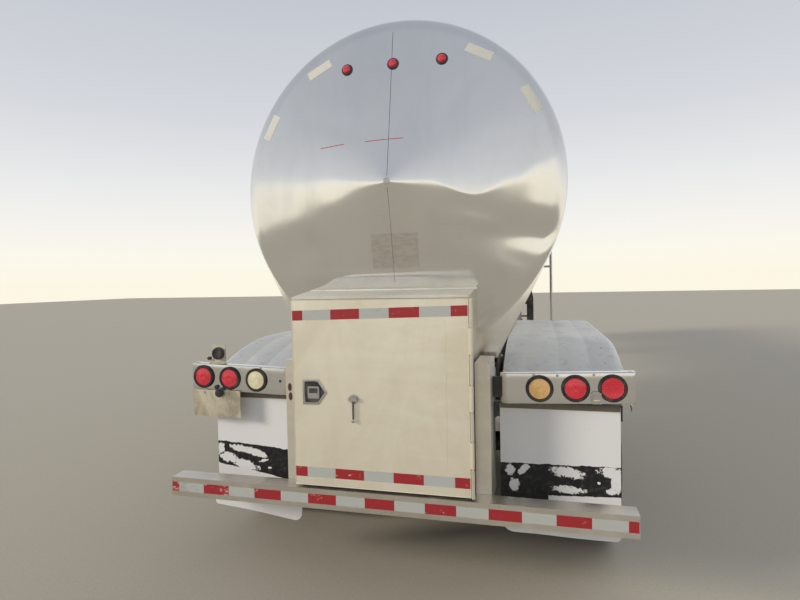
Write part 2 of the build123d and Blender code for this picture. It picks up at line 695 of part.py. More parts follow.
def make_outlet():
    y1 = TANK_REAR_Y - 10
    z = 930.0
    pipe = rod((0, y1, z), (0, y1 - 60, z), 38)
    pipe += rod((0, y1, z), (0, y1 - 8, z), 70)
    pipe += rod((0, y1 - 60, z), (0, y1 - 72, z), 45.5)
    pipe += rod((0, y1 - 72, z), (0, y1 - 150, z), 60)
    pipe += rod((0, y1 - 150, z), (0, y1 - 162, z), 45.5)
    pipe += rod((0, y1 - 162, z), (0, y1 - 215, z), 38)
    pipe += rod((0, y1 - 215, z), (0, y1 - 228, z), 45.5)
    pipe += rod((0, y1 - 111, z), (0, y1 - 111, z + 110), 12)
    pipe += block(-9, 150, y1 - 120, y1 - 102, z + 96, z + 110)
    add("outlet_valve", pipe)


def make_bumper():
    y0, y1 = REAR, REAR + BUMPER_SIDE
    z0, z1 = BUMPER_Z0, BUMPER_Z0 + BUMPER_SIDE
    bar = block(-BUMPER_HALF, BUMPER_HALF, y0, y1, z0, z1)
    t = BUMPER_WALL
    bar -= block(-BUMPER_HALF - 1, BUMPER_HALF + 1, y0 + t, y1 - t, z0 + t, z1 - t)
    add("rear_bumper", bar)
    post = block(POST_X, POST_X + POST_W, POST_Y0, POST_Y1, BUMPER_Z0 + 40, POST_TOP)
    hollow = block(
        POST_X + 6, POST_X + POST_W - 6, POST_Y0 + 6, POST_Y1 - 6, BUMPER_Z0 + 46, POST_TOP - 6
    )
    post -= hollow
    post += block(POST_X, POST_X + POST_W, y1, POST_Y0, z0 + 6, z1 - 6)
    add("bumper_posts", *both(post))
    arm_y = TANK_REAR_Y + 12.0
    brace = [(POST_Y1, 640), (POST_Y1, 560), (arm_y + 60, RAIL_Z + 30), (arm_y + 6, RAIL_Z + 30)]
    strut = side_prism(brace, POST_X + 6, POST_X + POST_W - 8)
    strut += block(POST_X, POST_X + POST_W, POST_Y1, arm_y, RAIL_Z + 40, RAIL_Z + 140)
    add("bumper_braces", *both(strut))


def lamp_spots():
    return [LAMP_X0 + i * LAMP_PITCH for i in range(3)]


def make_lamps():
    z0, z1 = LAMP_Z - PANEL_H / 2, LAMP_Z + PANEL_H / 2
    tilt = Pos(LAMP_X0, PANEL_Y, LAMP_Z) * Rot(0, -PANEL_TILT, 0) * Pos(-LAMP_X0, -PANEL_Y, -LAMP_Z)
    face = block(PANEL_X0, PANEL_X1, PANEL_Y, PANEL_Y + PANEL_T, z0, z1)
    face += block(PANEL_X0, PANEL_X1, PANEL_Y, PANEL_Y + PANEL_DEPTH, z0, z0 + PANEL_T)
    face += block(PANEL_X0, PANEL_X1, PANEL_Y, PANEL_Y + PANEL_DEPTH, z1 - PANEL_T, z1)
    face += block(PANEL_X1 - PANEL_T, PANEL_X1, PANEL_Y, PANEL_Y + PANEL_DEPTH, z0, z1)
    for x in lamp_spots():
        face -= rod((x, PANEL_Y - 1, LAMP_Z), (x, PANEL_Y + PANEL_T + 1, LAMP_Z), LAMP_R + 7)
    inner = POST_X + POST_W
    tilted = tilt * face
    link = block(inner, PANEL_X0 + 30, PANEL_Y + PANEL_T + 2, PANEL_Y + 40, z0 + 20, z1 - 20)
    tilted += link
    tilted -= block(0, inner, REAR, FRONT, 0, 3000)
    add("lamp_panel_right", tilted)
    add("lamp_panel_left", mirrored(tilted))

    for i, x in enumerate(lamp_spots()):
        ring = rod((x, PANEL_Y - 6, LAMP_Z), (x, PANEL_Y, LAMP_Z), GROMMET_R)
        ring += rod((x, PANEL_Y, LAMP_Z), (x, PANEL_Y + 26, LAMP_Z), LAMP_R + 6.5)
        ring -= rod((x, PANEL_Y - 8, LAMP_Z), (x, PANEL_Y + 27, LAMP_Z), LAMP_R)
        lamp = rod((x, PANEL_Y - 7, LAMP_Z), (x, PANEL_Y + 24, LAMP_Z), LAMP_R)
        dome = [(0, 0), (LAMP_R - 4, 0), (LAMP_R - 14, -5), (0, -5)]
        dome = revolve(Plane.XY * make_face(Polyline(*dome, close=True)), axis=Axis.Y)
        lamp += Pos(x, PANEL_Y - 7, LAMP_Z) * dome
        add("lamp_grommets", *both(tilt * ring))
        add("turn_lamps" if i == 0 else "stop_lamps", *both(tilt * lamp))


def make_flaps():
    c = FLAP_CORNER
    points = [
        (FLAP_X0, FLAP_Z1),
        (FLAP_X0, FLAP_Z0 + c),
        (FLAP_X0 + 0.3 * c, FLAP_Z0 + 0.3 * c),
        (FLAP_X0 + c, FLAP_Z0),
        (FLAP_X1 - c / 3, FLAP_Z0),
        (FLAP_X1, FLAP_Z0 + c / 3),
        (FLAP_X1, FLAP_Z1),
    ]
    flap = end_prism(points, FLAP_Y, FLAP_Y + FLAP_T)
    add("mud_flap_right", flap)
    add("mud_flap_left", mirrored(flap))
    y = FLAP_Y + FLAP_T
    inner = POST_X + POST_W
    hanger = block(inner, FLAP_X1 + 10, y, y + 6, FLAP_Z1 - 70, FLAP_Z1)
    hanger += block(inner, FLAP_X1 + 10, y, y + 45, FLAP_Z1, FLAP_Z1 + 6)
    add("flap_hangers", *both(hanger))


def make_landing_gear():
    top_z = tank_z(LEG_Y) - TANK_R
    saddle_points = [
        (-LEG_X - LEG_SIDE / 2, LEG_TOP - 70),
        (LEG_X + LEG_SIDE / 2, LEG_TOP - 70),
        (LEG_X + LEG_SIDE / 2, LEG_TOP + 60),
        (LEG_X - 20, top_z + 330),
        (-LEG_X + 20, top_z + 330),
        (-LEG_X - LEG_SIDE / 2, LEG_TOP + 60),
    ]
    saddle = end_prism(saddle_points, LEG_Y - 90, LEG_Y + 90)
    saddle -= tank_shell(TANK_R, LEG_Y - 100, LEG_Y + 100)
    half = LEG_SIDE / 2
    legs, feet = [], []
    for side in (-1, 1):
        x = side * LEG_X
        outer = block(x - half, x + half, LEG_Y - half, LEG_Y + half, LEG_Z0, LEG_TOP - 70)
        bore = LEG_INNER / 2
        slot = bore + 4
        outer -= block(x - slot, x + slot, LEG_Y - slot, LEG_Y + slot, LEG_Z0 - 1, LEG_Z0 + 500)
        legs.append(outer)
        inner = block(x - bore, x + bore, LEG_Y - bore, LEG_Y + bore, 60, LEG_Z0 + 500)
        inner += block(x - 45, x + 45, LEG_Y - 70, LEG_Y + 70, SHOE_T, 110)
        shoe = SHOE_SIDE / 2
        inner += block(x - shoe, x + shoe, LEG_Y - shoe, LEG_Y + shoe, 0, SHOE_T)
        feet.append(inner)
    add("landing_saddle", saddle)
    add("landing_legs", *legs)
    add("landing_feet", *feet)
    inside = LEG_X - half
    shaft = rod((-inside, LEG_Y, CRANK_Z), (inside, LEG_Y, CRANK_Z), 16)
    add("landing_crank", shaft)
    tie = rod((-inside, LEG_Y, 600), (inside, LEG_Y, 600), 24)
    braces = [tie]
    for side in (-1, 1):
        low = (side * (inside + 30), LEG_Y + 42, 640)
        high = (side * 140, LEG_Y + 42, LEG_TOP - 60)
        brace = rod(low, high, 20)
        brace -= block(inside, LEG_X * 2, LEG_Y - 90, LEG_Y + 90, 0, 2000)
        brace -= block(-LEG_X * 2, -inside, LEG_Y - 90, LEG_Y + 90, 0, 2000)
        brace -= block(-LEG_X, LEG_X, LEG_Y - 90, LEG_Y + 90, LEG_TOP - 70, 2000)
        braces.append(brace)
    add("landing_braces", *braces)
    x = -LEG_X - half
    crank = rod((x, LEG_Y, CRANK_Z), (x - 150, LEG_Y, CRANK_Z), 12)
    crank += rod((x - 150, LEG_Y + 12, CRANK_Z), (x - 150, LEG_Y - 300, CRANK_Z), 12)
    crank += rod((x - 138, LEG_Y - 300, CRANK_Z), (x - 260, LEG_Y - 300, CRANK_Z), 12)
    crank += block(x - 60, x, LEG_Y - 70, LEG_Y + 70, CRANK_Z - 80, CRANK_Z + 80)
    add("landing_crank", crank)


def make_manhole(barrel):
    top = tank_z(MANHOLE_Y) + TANK_R
    flange_z = top + NECK_TOP
    neck = rod((0, MANHOLE_Y, top - 120), (0, MANHOLE_Y, flange_z), NECK_R)
    neck += rod((0, MANHOLE_Y, flange_z - 16), (0, MANHOLE_Y, flange_z), LID_R + FLANGE_OVER)
    neck -= rod((0, MANHOLE_Y, top - 200), (0, MANHOLE_Y, flange_z + 5), NECK_R - NECK_WALL)
    neck -= barrel
    add("manhole_neck", max(neck.solids(), key=lambda s: s.volume))

    z = flange_z + RUN_GAP
    shoulder = LID_R - 50
    crown = LID_T + LID_DOME
    edges = [
        Line((0, 0), (LID_R, 0)),
        Line((LID_R, 0), (LID_R, LID_T)),
        Line((LID_R, LID_T), (shoulder, LID_T)),
        ThreePointArc((shoulder, LID_T), (shoulder * 0.6, LID_T + LID_DOME * 0.72), (0, crown)),
        Line((0, crown), (0, 0)),
    ]
    lid = Pos(0, MANHOLE_Y, z) * revolve(Plane.XZ * make_face(edges), axis=Axis.Z)
    lid += rod((0, MANHOLE_Y, z + crown - 10), (0, MANHOLE_Y, z + crown + 40), 45)
    hinge_y = MANHOLE_Y + LID_R + 44
    pin_z = z + 24
    lid += block(-40, 40, MANHOLE_Y + LID_R - 60, hinge_y, z + 10, z + 20)
    lid += rod((-40, hinge_y, pin_z), (40, hinge_y, pin_z), 14)
    lid -= rod((-41, hinge_y, pin_z), (41, hinge_y, pin_z), 7 + RUN_GAP)
    add("manhole_lid", lid)

    lug = block(-66, 66, MANHOLE_Y + LID_R + 10, hinge_y + 18, flange_z, flange_z + 5)
    for x in (-58, 58):
        lug += block(x - 8, x + 8, MANHOLE_Y + LID_R + 14, hinge_y + 18, flange_z, flange_z + 40)
    lug += rod((-66, hinge_y, pin_z), (66, hinge_y, pin_z), 7)
    add("manhole_fittings", lug)
    for deg in CLAMP_DEGS:
        turn = Pos(0, MANHOLE_Y, flange_z) * Rot(0, 0, deg)
        clamp = rod((LID_R + 20, 0, 0), (LID_R + 20, 0, 44), 8)
        clamp += rod((LID_R + 20, -26, 44), (LID_R + 20, 26, 44), 7)
        clamp += rod((LID_R + 20, 0, 0), (LID_R + 20, 0, 12), 13)
        add("manhole_fittings", turn * clamp)


def make_walkway():
    top = tank_z(MANHOLE_Y) + TANK_R
    y0 = MANHOLE_Y - WALK_LENGTH / 2
    y1 = MANHOLE_Y + WALK_LENGTH / 2
    deck_z = top + 12
    deck = block(-WALK_HALF, WALK_HALF + 60, y0, y1, deck_z, deck_z + 6)
    deck -= rod((0, MANHOLE_Y, top - 200), (0, MANHOLE_Y, top + 100), LID_R + FLANGE_OVER + 12)
    for x, y in walk_feet():
        deck += block(x, x + FOOT_W, y, y + FOOT_W, top - 200, deck_z)
    deck -= tank_shell(TANK_R, y0 - 50, y1 + 50)
    add("walkway", *deck.solids())


def make_ladder():
    y0 = MANHOLE_Y - STILE_GAP / 2
    y1 = MANHOLE_Y + STILE_GAP / 2
    centre_z = tank_z(MANHOLE_Y)
    stiles = []
    for y in (y0, y1):
        stile = rod((STILE_X, y, LADDER_Z0), (STILE_X, y, centre_z), STILE_R)
        ring = Plane(origin=(STILE_X, y, centre_z), x_dir=(1, 0, 0), z_dir=(0, 0, 1))
        bend_axis = Axis((0, y, centre_z), (0, -1, 0))
        stile += revolve(ring * Circle(STILE_R), axis=bend_axis, revolution_arc=LADDER_BEND)
        stiles.append(stile)
    ladder = stiles[0] + stiles[1]
    z = LADDER_Z0 + 120
    while z < centre_z - 60:
        ladder += rod((STILE_X, y0, z), (STILE_X, y1, z), RUNG_R)
        z += RUNG_PITCH
    for deg in (6, 24, 42, 56):
        a = math.radians(deg)
        x, z = STILE_X * math.cos(a), centre_z + STILE_X * math.sin(a)
        ladder += rod((x, y0, z), (x, y1, z), RUNG_R)
    for z in (centre_z - 32, centre_z - 380):
        reach = math.sqrt(TANK_R**2 - (z - centre_z) ** 2)
        for y in (y0, y1):
            arm = rod((reach - 20, y, z), (STILE_X, y, z), 12)
            arm -= tank_shell(TANK_R, y - 100, y + 100)
            ladder += max(arm.solids(), key=lambda s: s.volume)
    add("ladder", ladder)


def make_fittings():
    spots = [(-263, 669), (8, 667), (279, 666)]
    lamps = []
    for x, above in spots:
        z = TANK_REAR_Z + above
        dist = math.hypot(x, z - TANK_REAR_Z)
        y = TANK_REAR_Y - SHEET_CONE * (1 - dist / TANK_R)
        lamp = rod((x, y - 22, z), (x, y + 30, z), 27)
        lamps.append(lamp - BODIES["rear_sheet"][0] - BODIES["tank_barrel"][0])
    for lamp in lamps:
        add("id_lamps", max(lamp.solids(), key=lambda s: s.volume))

    y0 = AXLE_YS[1] + 1250.0
    y1 = y0 + RESERVOIR_LENGTH
    for x in (-RESERVOIR_X, RESERVOIR_X):
        can = rod((x, y0, RESERVOIR_Z), (x, y1, RESERVOIR_Z), RESERVOIR_R)
        for y in (y0 + STRAP_INSET, y1 - STRAP_INSET - STRAP_W):
            can += block(x - 30, x + 30, y, y + STRAP_W, RESERVOIR_Z, SKIRT_Z)
        for solid in BODIES["cross_members"]:
            can -= solid
        add("air_reservoirs", max(can.solids(), key=lambda s: s.volume))

    nose_y = FRONT - COUPLER_NOSE - HEAD_DEPTH
    z = 1262.0
    for x in (-180, 180):
        glad = rod((x, nose_y, z), (x, nose_y + 40, z), 22)
        glad += rod((x, nose_y + 40, z - 22), (x, nose_y + 40, z + 28), 24)
        add("front_couplings", glad)
    socket = rod((0, nose_y, z), (0, nose_y + 45, z), 32)
    socket -= rod((0, nose_y + 12, z), (0, nose_y + 50, z), 26)
    add("front_couplings", socket)


def main():
    barrel = make_tank()
    make_skirts()
    make_frame()
    for i, y in enumerate(AXLE_YS):
        make_axle(y)
        label = ("rear", "front")[i]
        make_wheel(label + "_right", y, 1)
        make_wheel(label + "_left", y, -1)
    make_fenders()
    make_cabinet()
    make_outlet()
    make_bumper()
    make_lamps()
    make_flaps()
    make_landing_gear()
    make_manhole(barrel)
    make_walkway()
    make_ladder()
    make_fittings()
    os.makedirs("parts", exist_ok=True)
    for name, solids in BODIES.items():
        export_step(Compound(solids), os.path.join("parts", name + ".step"))


main()
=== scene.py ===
import math

import bmesh
import bpy
from mathutils import Matrix, Vector, noise


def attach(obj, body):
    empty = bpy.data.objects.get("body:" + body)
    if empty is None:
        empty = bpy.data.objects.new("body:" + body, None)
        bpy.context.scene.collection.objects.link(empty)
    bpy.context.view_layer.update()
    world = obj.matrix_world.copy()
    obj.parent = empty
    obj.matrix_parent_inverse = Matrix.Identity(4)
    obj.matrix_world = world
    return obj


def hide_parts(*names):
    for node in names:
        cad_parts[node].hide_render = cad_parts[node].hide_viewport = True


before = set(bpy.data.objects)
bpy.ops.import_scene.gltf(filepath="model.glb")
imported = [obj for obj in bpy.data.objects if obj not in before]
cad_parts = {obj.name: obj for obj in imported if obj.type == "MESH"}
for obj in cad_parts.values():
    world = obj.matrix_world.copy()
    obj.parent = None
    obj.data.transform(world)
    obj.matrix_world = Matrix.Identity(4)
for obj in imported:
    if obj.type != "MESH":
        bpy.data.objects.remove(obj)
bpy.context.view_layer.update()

# Places shared with the CAD part, in metres. The rear looks to -Y, the kerb side to +X.
REAR = -6.095
FRONT = 6.095
TANK_R = 0.920
SHEET_Y = REAR + 0.460
APEX_Y = REAR + 0.270
AXIS_Z = 2.150
TANK_SLOPE = 0.0087
SKIRT_HALF = 0.542
SKIRT_Z = 1.190
TYRE_R = 0.525
DUAL_X = 0.908
DUAL_GAP = 0.343
AXLE_YS = {"rear": REAR + 1.150, "front": REAR + 2.395}
DOOR_Y = REAR + 0.018
CABINET_FRAME_Y = REAR + 0.104
PLATE_Y = REAR + 0.192
PANEL_Y = REAR + 0.200
FLAP_BAR_Y = REAR + 0.2655
MANHOLE_Y = 0.150
LANDING_Y = FRONT - 0.915 - 2.650
TRAILER = "trailer"
SIDES = {-1: "left", 1: "right"}
REARWARDS = (0, -1, 0)
UPWARDS = (0, 0, 1)


def axis_z(y):
    """Height of the tank's axis, which rises to the front."""
    return AXIS_Z + TANK_SLOPE * (y - SHEET_Y)


def on_jacket(side, degrees, y):
    """A point on the tank at an angle above its side, and the way out from it."""
    a = math.radians(degrees)
    out = Vector((side * math.cos(a), 0, math.sin(a)))
    return Vector((0, y, axis_z(y))) + out * TANK_R, out


# Materials


class Field:
    """One output in a material's nodes, so that sums and products read as arithmetic."""

    def __init__(self, nodes, socket):
        self.nodes = nodes
        self.socket = socket

    def __add__(self, other):
        return self.nodes.math("ADD", self, other)

    def __sub__(self, other):
        return self.nodes.math("SUBTRACT", self, other)

    def __rsub__(self, other):
        return self.nodes.math("SUBTRACT", other, self)

    def __mul__(self, other):
        return self.nodes.math("MULTIPLY", self, other)

    def clamped(self):
        self.socket.node.use_clamp = True
        return self


class Nodes:
    """A material and short ways to add its nodes."""

    def __init__(self, name, color, rough, metal=0.0, coat=0.0, ior=1.45):
        self.mat = bpy.data.materials.new(name)
        self.mat.use_nodes = True
        self.tree = self.mat.node_tree
        self.bsdf = self.tree.nodes["Principled BSDF"]
        self.color(tuple(color) + (1.0,))
        self.rough(rough)
        self.metal(metal)
        self.set(self.bsdf, "Coat Weight", coat)
        self.set(self.bsdf, "IOR", ior)
        self.coords = Field(self, self.add("TexCoord").outputs["Object"])

    def set(self, node, key, value):
        if isinstance(value, Field):
            self.tree.links.new(value.socket, node.inputs[key])
        else:
            node.inputs[key].default_value = value

    def add(self, kind, **values):
        node = self.tree.nodes.new("ShaderNode" + kind)
        for key, value in values.items():
            setattr(node, key, value)
        return node

    def place(self, node, stretch):
        """Puts a texture in object space, stretched where asked."""
        vector = self.coords
        if stretch:
            mapping = self.add("Mapping")
            self.set(mapping, "Vector", self.coords)
            self.set(mapping, "Scale", stretch)
            vector = Field(self, mapping.outputs[0])
        self.set(node, "Vector", vector)

    def noise(self, scale, detail=4.0, stretch=None, rough=0.55, warp=0.0):
        node = self.add("TexNoise")
        self.place(node, stretch)
        values = {"Scale": scale, "Detail": detail, "Roughness": rough, "Distortion": warp}
        for key, value in values.items():
            self.set(node, key, value)
        return Field(self, node.outputs["Fac"])

    def patches(self, low, high, *noise_values, top=1.0):
        """Noise cut between two levels, which leaves patches with soft edges."""
        return self.ramp(self.noise(*noise_values), low, high, 0.0, top)

    def cells(self, scale, feature="F1", stretch=None):
        node = self.add("TexVoronoi", feature=feature)
        self.place(node, stretch)
        self.set(node, "Scale", scale)
        return Field(self, node.outputs["Distance"])

    def part(self, vector, which):
        node = self.add("SeparateXYZ")
        self.set(node, 0, vector)
        return Field(self, node.outputs["XYZ".index(which)])

    def axis(self, which):
        return self.part(self.coords, which)

    def math(self, operation, a, b):
        node = self.add("Math", operation=operation)
        self.set(node, 0, a)
        self.set(node, 1, b)
        return Field(self, node.outputs[0])

    def ramp(self, fac, low, high, out_low=0.0, out_high=1.0):
        node = self.add("MapRange", interpolation_type="SMOOTHSTEP")
        for i, value in enumerate((fac, low, high, out_low, out_high)):
            self.set(node, i, value)
        return Field(self, node.outputs[0])

    def mix(self, fac, a, b):
        node = self.add("Mix", data_type="RGBA")
        self.set(node, 0, fac)
        for index, value in ((6, a), (7, b)):
            self.set(node, index, value if isinstance(value, Field) else tuple(value) + (1.0,))
        return Field(self, node.outputs[2])

    def bump(self, *layers):
        last = None
        for height, distance, strength in layers:
            node = self.add("Bump")
            self.set(node, "Height", height)
            self.set(node, "Distance", distance)
            self.set(node, "Strength", strength)
            if last:
                self.set(node, "Normal", last)
            last = Field(self, node.outputs[0])
        self.set(self.bsdf, "Normal", last)

    def color(self, value):
        self.set(self.bsdf, "Base Color", value)

    def rough(self, value):
        self.set(self.bsdf, "Roughness", value)

    def metal(self, value):
        self.set(self.bsdf, "Metallic", value)


def scaled(color, share):
    return [min(1.0, share * c) for c in color]


def polished_steel(name, base, rough, wave, glue_box=None):
    """Mirror polished sheet: fine brush lines, faint smears, road film low down."""
    n = Nodes(name, base, rough, 1.0)
    smear = n.noise(3.0, 6.0, (1.0, 1.0, 0.35), 0.6, 0.4)
    brush = n.noise(260.0, 2.0, (1.0, 1.0, 0.012))
    low = n.ramp(n.axis("Z"), 1.9, 1.2)
    dust = (n.patches(0.45, 0.75, 2.2, 8.0, None, 0.7) * (low * 0.45 + 0.10)).clamped()
    tone = n.mix(n.ramp(smear, 0.3, 0.8), base, scaled(base, 0.90))
    if glue_box:
        x0, x1, z0, z1 = glue_box
        x, z = n.axis("X"), n.axis("Z")
        across = n.ramp(x, x0 - 0.004, x0 + 0.004) - n.ramp(x, x1 - 0.002, x1 + 0.002)
        along = n.ramp(z, z0 - 0.010, z0 + 0.010) - n.ramp(z, z1 - 0.004, z1 + 0.004)
        glue = n.ramp(n.noise(30.0, 6.0, (1.0, 1.0, 2.2), 0.7), 0.38, 0.62, 0.25, 0.80)
        tone = n.mix(across * along * glue * 0.45, tone, (0.42, 0.38, 0.31))
    n.color(n.mix(dust, tone, (0.50, 0.46, 0.40)))
    n.rough(n.ramp(smear, 0.35, 0.75, rough, rough + 0.10) + dust * 0.35)
    n.metal(1.0 - dust * 0.6)
    n.bump((brush, 0.0002, 0.10), (n.noise(1.6, 2.0), wave, 0.5))
    return n.mat


GRAIN = {"X": (0.02, 1.0, 1.0), "Y": (1.0, 0.02, 1.0), "Z": (1.0, 1.0, 0.02)}


def brushed_steel(name, base, rough, grain, warm, metal=1.0, blotches=2.4, dirt=1.0):
    """Brushed sheet with water marks, smudges, wiped swathes and dust in streaks."""
    n = Nodes(name, base, rough, metal)
    brush = n.noise(420.0, 3.0, GRAIN[grain])
    blotch = n.noise(blotches, 6.0, (1.0, 1.0, 0.5), 0.62, 0.8)
    marks = n.patches(0.50, 0.72, 9.0, 8.0, (1.0, 1.0, 0.22), 0.7, top=dirt)
    specks = n.patches(0.68, 0.76, 60.0, 3.0, top=dirt)
    wiped = n.patches(0.40, 0.70, 6.0, 5.0, (0.35, 1.0, 1.7), 0.6, 0.6)
    tone = n.mix(n.ramp(blotch, 0.3, 0.75), base, warm)
    tone = n.mix(wiped * 0.30, tone, scaled(base, 1.12))
    tone = n.mix(marks * 0.35, tone, (0.42, 0.38, 0.33))
    n.color(n.mix(specks * 0.5, tone, (0.30, 0.26, 0.22)))
    n.rough(n.ramp(blotch, 0.3, 0.8, rough, rough + 0.12) + brush * 0.06)
    n.metal(metal - marks * 0.35)
    n.bump((brush, 0.0002, 0.22), (n.noise(2.0, 2.0), 0.004, 0.3))
    return n.mat


def dull_aluminium(name, base, rough):
    """Weathered aluminium: chalky blotches, runs and scratches."""
    n = Nodes(name, base, rough, 0.9)
    chalk = n.patches(0.42, 0.68, 5.0, 9.0, None, 0.68, 0.5)
    runs = n.patches(0.52, 0.78, 26.0, 4.0, (1.0, 1.0, 0.08))
    edges = n.cells(34.0, "DISTANCE_TO_EDGE", (1.0, 0.16, 1.0))
    scratch = n.ramp(edges, 0.0, 0.03, 1.0, 0.0)
    tone = n.mix(chalk * 0.55, base, (0.72, 0.72, 0.70))
    tone = n.mix(runs * 0.30, tone, (0.34, 0.32, 0.29))
    n.color(n.mix(scratch * 0.22, tone, (0.80, 0.80, 0.79)))
    n.rough(n.ramp(chalk, 0.0, 1.0, rough, rough + 0.22))
    n.metal(n.ramp(chalk, 0.0, 1.0, 0.75, 0.45))
    n.bump((n.noise(180.0, 3.0), 0.0003, 0.25), (n.noise(4.0, 2.0), 0.003, 0.3))
    return n.mat


def painted(name, base, rough, dust=(0.36, 0.33, 0.28), rust=0.25):
    """Chassis paint with dust on its upper faces, chips and small rust."""
    n = Nodes(name, base, rough, 0.0, 0.15)
    normal = Field(n, n.add("NewGeometry").outputs["Normal"])
    up = n.ramp(n.part(normal, "Z"), 0.2, 0.9)
    cover = n.patches(0.40, 0.70, 7.0, 8.0, None, 0.7) * (up * 0.55 + 0.22)
    spots = (n.patches(0.60, 0.68, 24.0, 9.0, None, 0.75) * (rust * 3.0)).clamped()
    n.color(n.mix(spots, n.mix(cover, base, dust), (0.22, 0.085, 0.035)))
    n.rough(((cover + spots) * 0.35 + rough).clamped())
    n.bump((n.noise(90.0, 4.0), 0.0006, 0.3), (spots, 0.0012, 0.5))
    return n.mat


def rubber(name, base, rough, grit=120.0):
    """Matt rubber or plastic with dust in blotches."""
    n = Nodes(name, base, rough)
    dust = n.patches(0.42, 0.72, 11.0, 8.0, None, 0.7)
    n.color(n.mix(dust * 0.55, base, (0.20, 0.18, 0.155)))
    n.rough(n.ramp(dust, 0.0, 1.0, rough, 0.95))
    n.bump((n.noise(grit, 4.0), 0.0006, 0.4))
    return n.mat


def lens(name, base, facet_glint):
    """A moulded lens over a reflector: prism grid, deep colour, clear coat, with a painted glint of
    the reflector that brightens each prism cell towards its centre.
    """
    n = Nodes(name, base, 0.12, 0.0, 1.0, 1.5)
    n.set(n.bsdf, "Coat Roughness", 0.05)
    prism = n.cells(260.0)
    # Painted highlight: cell centres take the reflector's glint colour and fade to the lens colour
    # at the cell edges
    shade = n.mix(n.ramp(prism, 0.05, 0.55), facet_glint, base)
    n.color(n.mix(n.patches(0.3, 0.7, 30.0, 3.0) * 0.25, shade, scaled(base, 0.6)))
    n.bump((prism, 0.0012, 0.45))
    return n.mat


def tape(name, base, scuff, worn):
    """Retroreflective tape: fine cell pattern under film, scuffed and dusty."""
    n = Nodes(name, base, 0.34, 0.0, 0.35, 1.5)
    n.set(n.bsdf, "Coat Roughness", 0.25)
    cell = n.ramp(n.cells(420.0, "DISTANCE_TO_EDGE"), 0.02, 0.12)
    left = n.ramp(n.axis("X"), -0.55, -1.10)
    scuffs = n.noise(16.0, 9.0, (1.0, 1.0, 1.8), 0.72)
    wear = n.ramp(scuffs + left * 0.10, 0.60, 0.66)
    tone = n.mix(n.patches(0.3, 0.8, 5.0, 5.0), base, scaled(base, 0.84))
    tone = n.mix(cell * 0.25, scaled(base, 0.72), tone)
    n.color(n.mix((wear * worn).clamped(), tone, scuff))
    n.rough(n.ramp(wear, 0.0, 1.0, 0.34, 0.70))
    n.bump((cell, 0.0002, 0.3), (wear, 0.0004, 0.5))
    return n.mat


# Worn patches in the flaps' black bands: (x, z, half width, half height, lean)
WORN = {
    1: (
        (0.619, 0.644, 0.022, 0.030, 0.1), (0.643, 0.570, 0.024, 0.033, 0.1),
        (0.688, 0.652, 0.034, 0.017, 0.75), (0.900, 0.650, 0.080, 0.026, -0.12),
        (0.904, 0.564, 0.075, 0.019, 0.0), (1.112, 0.660, 0.064, 0.028, -0.1),
        (1.135, 0.615, 0.030, 0.048, 0.0), (1.105, 0.570, 0.025, 0.015, 0.0),
        (1.048, 0.608, 0.007, 0.007, 0.0),
    ),
    -1: (
        (-1.049, 0.657, 0.020, 0.034, 0.0), (-0.922, 0.662, 0.070, 0.020, -0.15),
        (-1.005, 0.607, 0.058, 0.028, -0.2), (-0.826, 0.643, 0.072, 0.021, -0.25),
        (-0.900, 0.571, 0.085, 0.028, -0.25), (-0.775, 0.600, 0.030, 0.008, 0.3),
        (-0.739, 0.559, 0.011, 0.006, 0.0),
    ),
}
# The band's lower and upper edges: (height in the middle, slope) for each side
BAND = {1: ((0.530, 0.050), (0.686, 0.020)), -1: ((0.5385, -0.155), (0.690, -0.070))}
FLAP_MID_X = 0.860
# On the right the band steps down at its inner end: (x, height)
BAND_STEP = (0.808, 0.501)


def flap_material(side):
    """White flap with a black band, worn through in irregular patches, and grime."""
    n = Nodes("flap_white_" + SIDES[side], (0.74, 0.73, 0.70), 0.52)
    x, z = n.axis("X"), n.axis("Z")
    ragged = z + (n.noise(24.0, 7.0, None, 0.65) - 0.5) * 0.022
    along = x - side * FLAP_MID_X
    low_edge, high_edge = [
        n.ramp(ragged - (along * slope + height), -0.001, 0.001) for height, slope in BAND[side]
    ]
    band = low_edge - high_edge
    if side > 0:
        step_x, step_z = BAND_STEP
        step = n.ramp(x, step_x + 0.001, step_x - 0.001)
        step = step * n.ramp(ragged, step_z - 0.001, step_z + 0.001)
        band = (band + (step - step * low_edge)).clamped()
    tear = (n.noise(42.0, 9.0, None, 0.75) - 0.5) * 5.5
    worn = 0.0
    for cx, cz, half_u, half_v, lean in WORN[side]:
        dx, dz = x - cx, z - cz
        cos, sin = math.cos(lean), math.sin(lean)
        u = dx * (cos / half_u) + dz * (sin / half_u)
        v = dz * (cos / half_v) - dx * (sin / half_v)
        worn = n.math("MAXIMUM", worn, n.ramp(u * u + v * v + tear, 1.00, 0.90))
    band = band * (1.0 - worn)
    grime = n.patches(0.42, 0.78, 3.0, 8.0, (1.0, 1.0, 0.35), 0.66)
    low = n.ramp(z, 0.75, 0.33, 0.06, 0.30)
    white = n.mix(grime * low, (0.74, 0.74, 0.74), (0.46, 0.42, 0.36))
    white = n.mix(n.patches(0.68, 0.76, 90.0, 2.0) * 0.30, white, (0.36, 0.33, 0.29))
    fade = n.patches(0.45, 0.85, 40.0, 6.0)
    n.color(n.mix(band, white, n.mix(fade, (0.012, 0.012, 0.013), (0.060, 0.056, 0.05))))
    n.rough(n.ramp(band, 0.0, 1.0, 0.50, 0.72))
    waves = (n.noise(2.5, 2.0), 0.004, 0.25)
    n.bump((band, 0.0006, 0.5), (n.noise(55.0, 4.0), 0.0006, 0.20), waves)
    return n.mat


def floor_material():
    n = Nodes("floor_pale", (0.44, 0.40, 0.325), 0.85)
    grain = n.patches(0.3, 0.7, 60.0, 4.0)
    n.color(n.mix(grain, (0.45, 0.41, 0.335), (0.42, 0.38, 0.305)))
    return n.mat


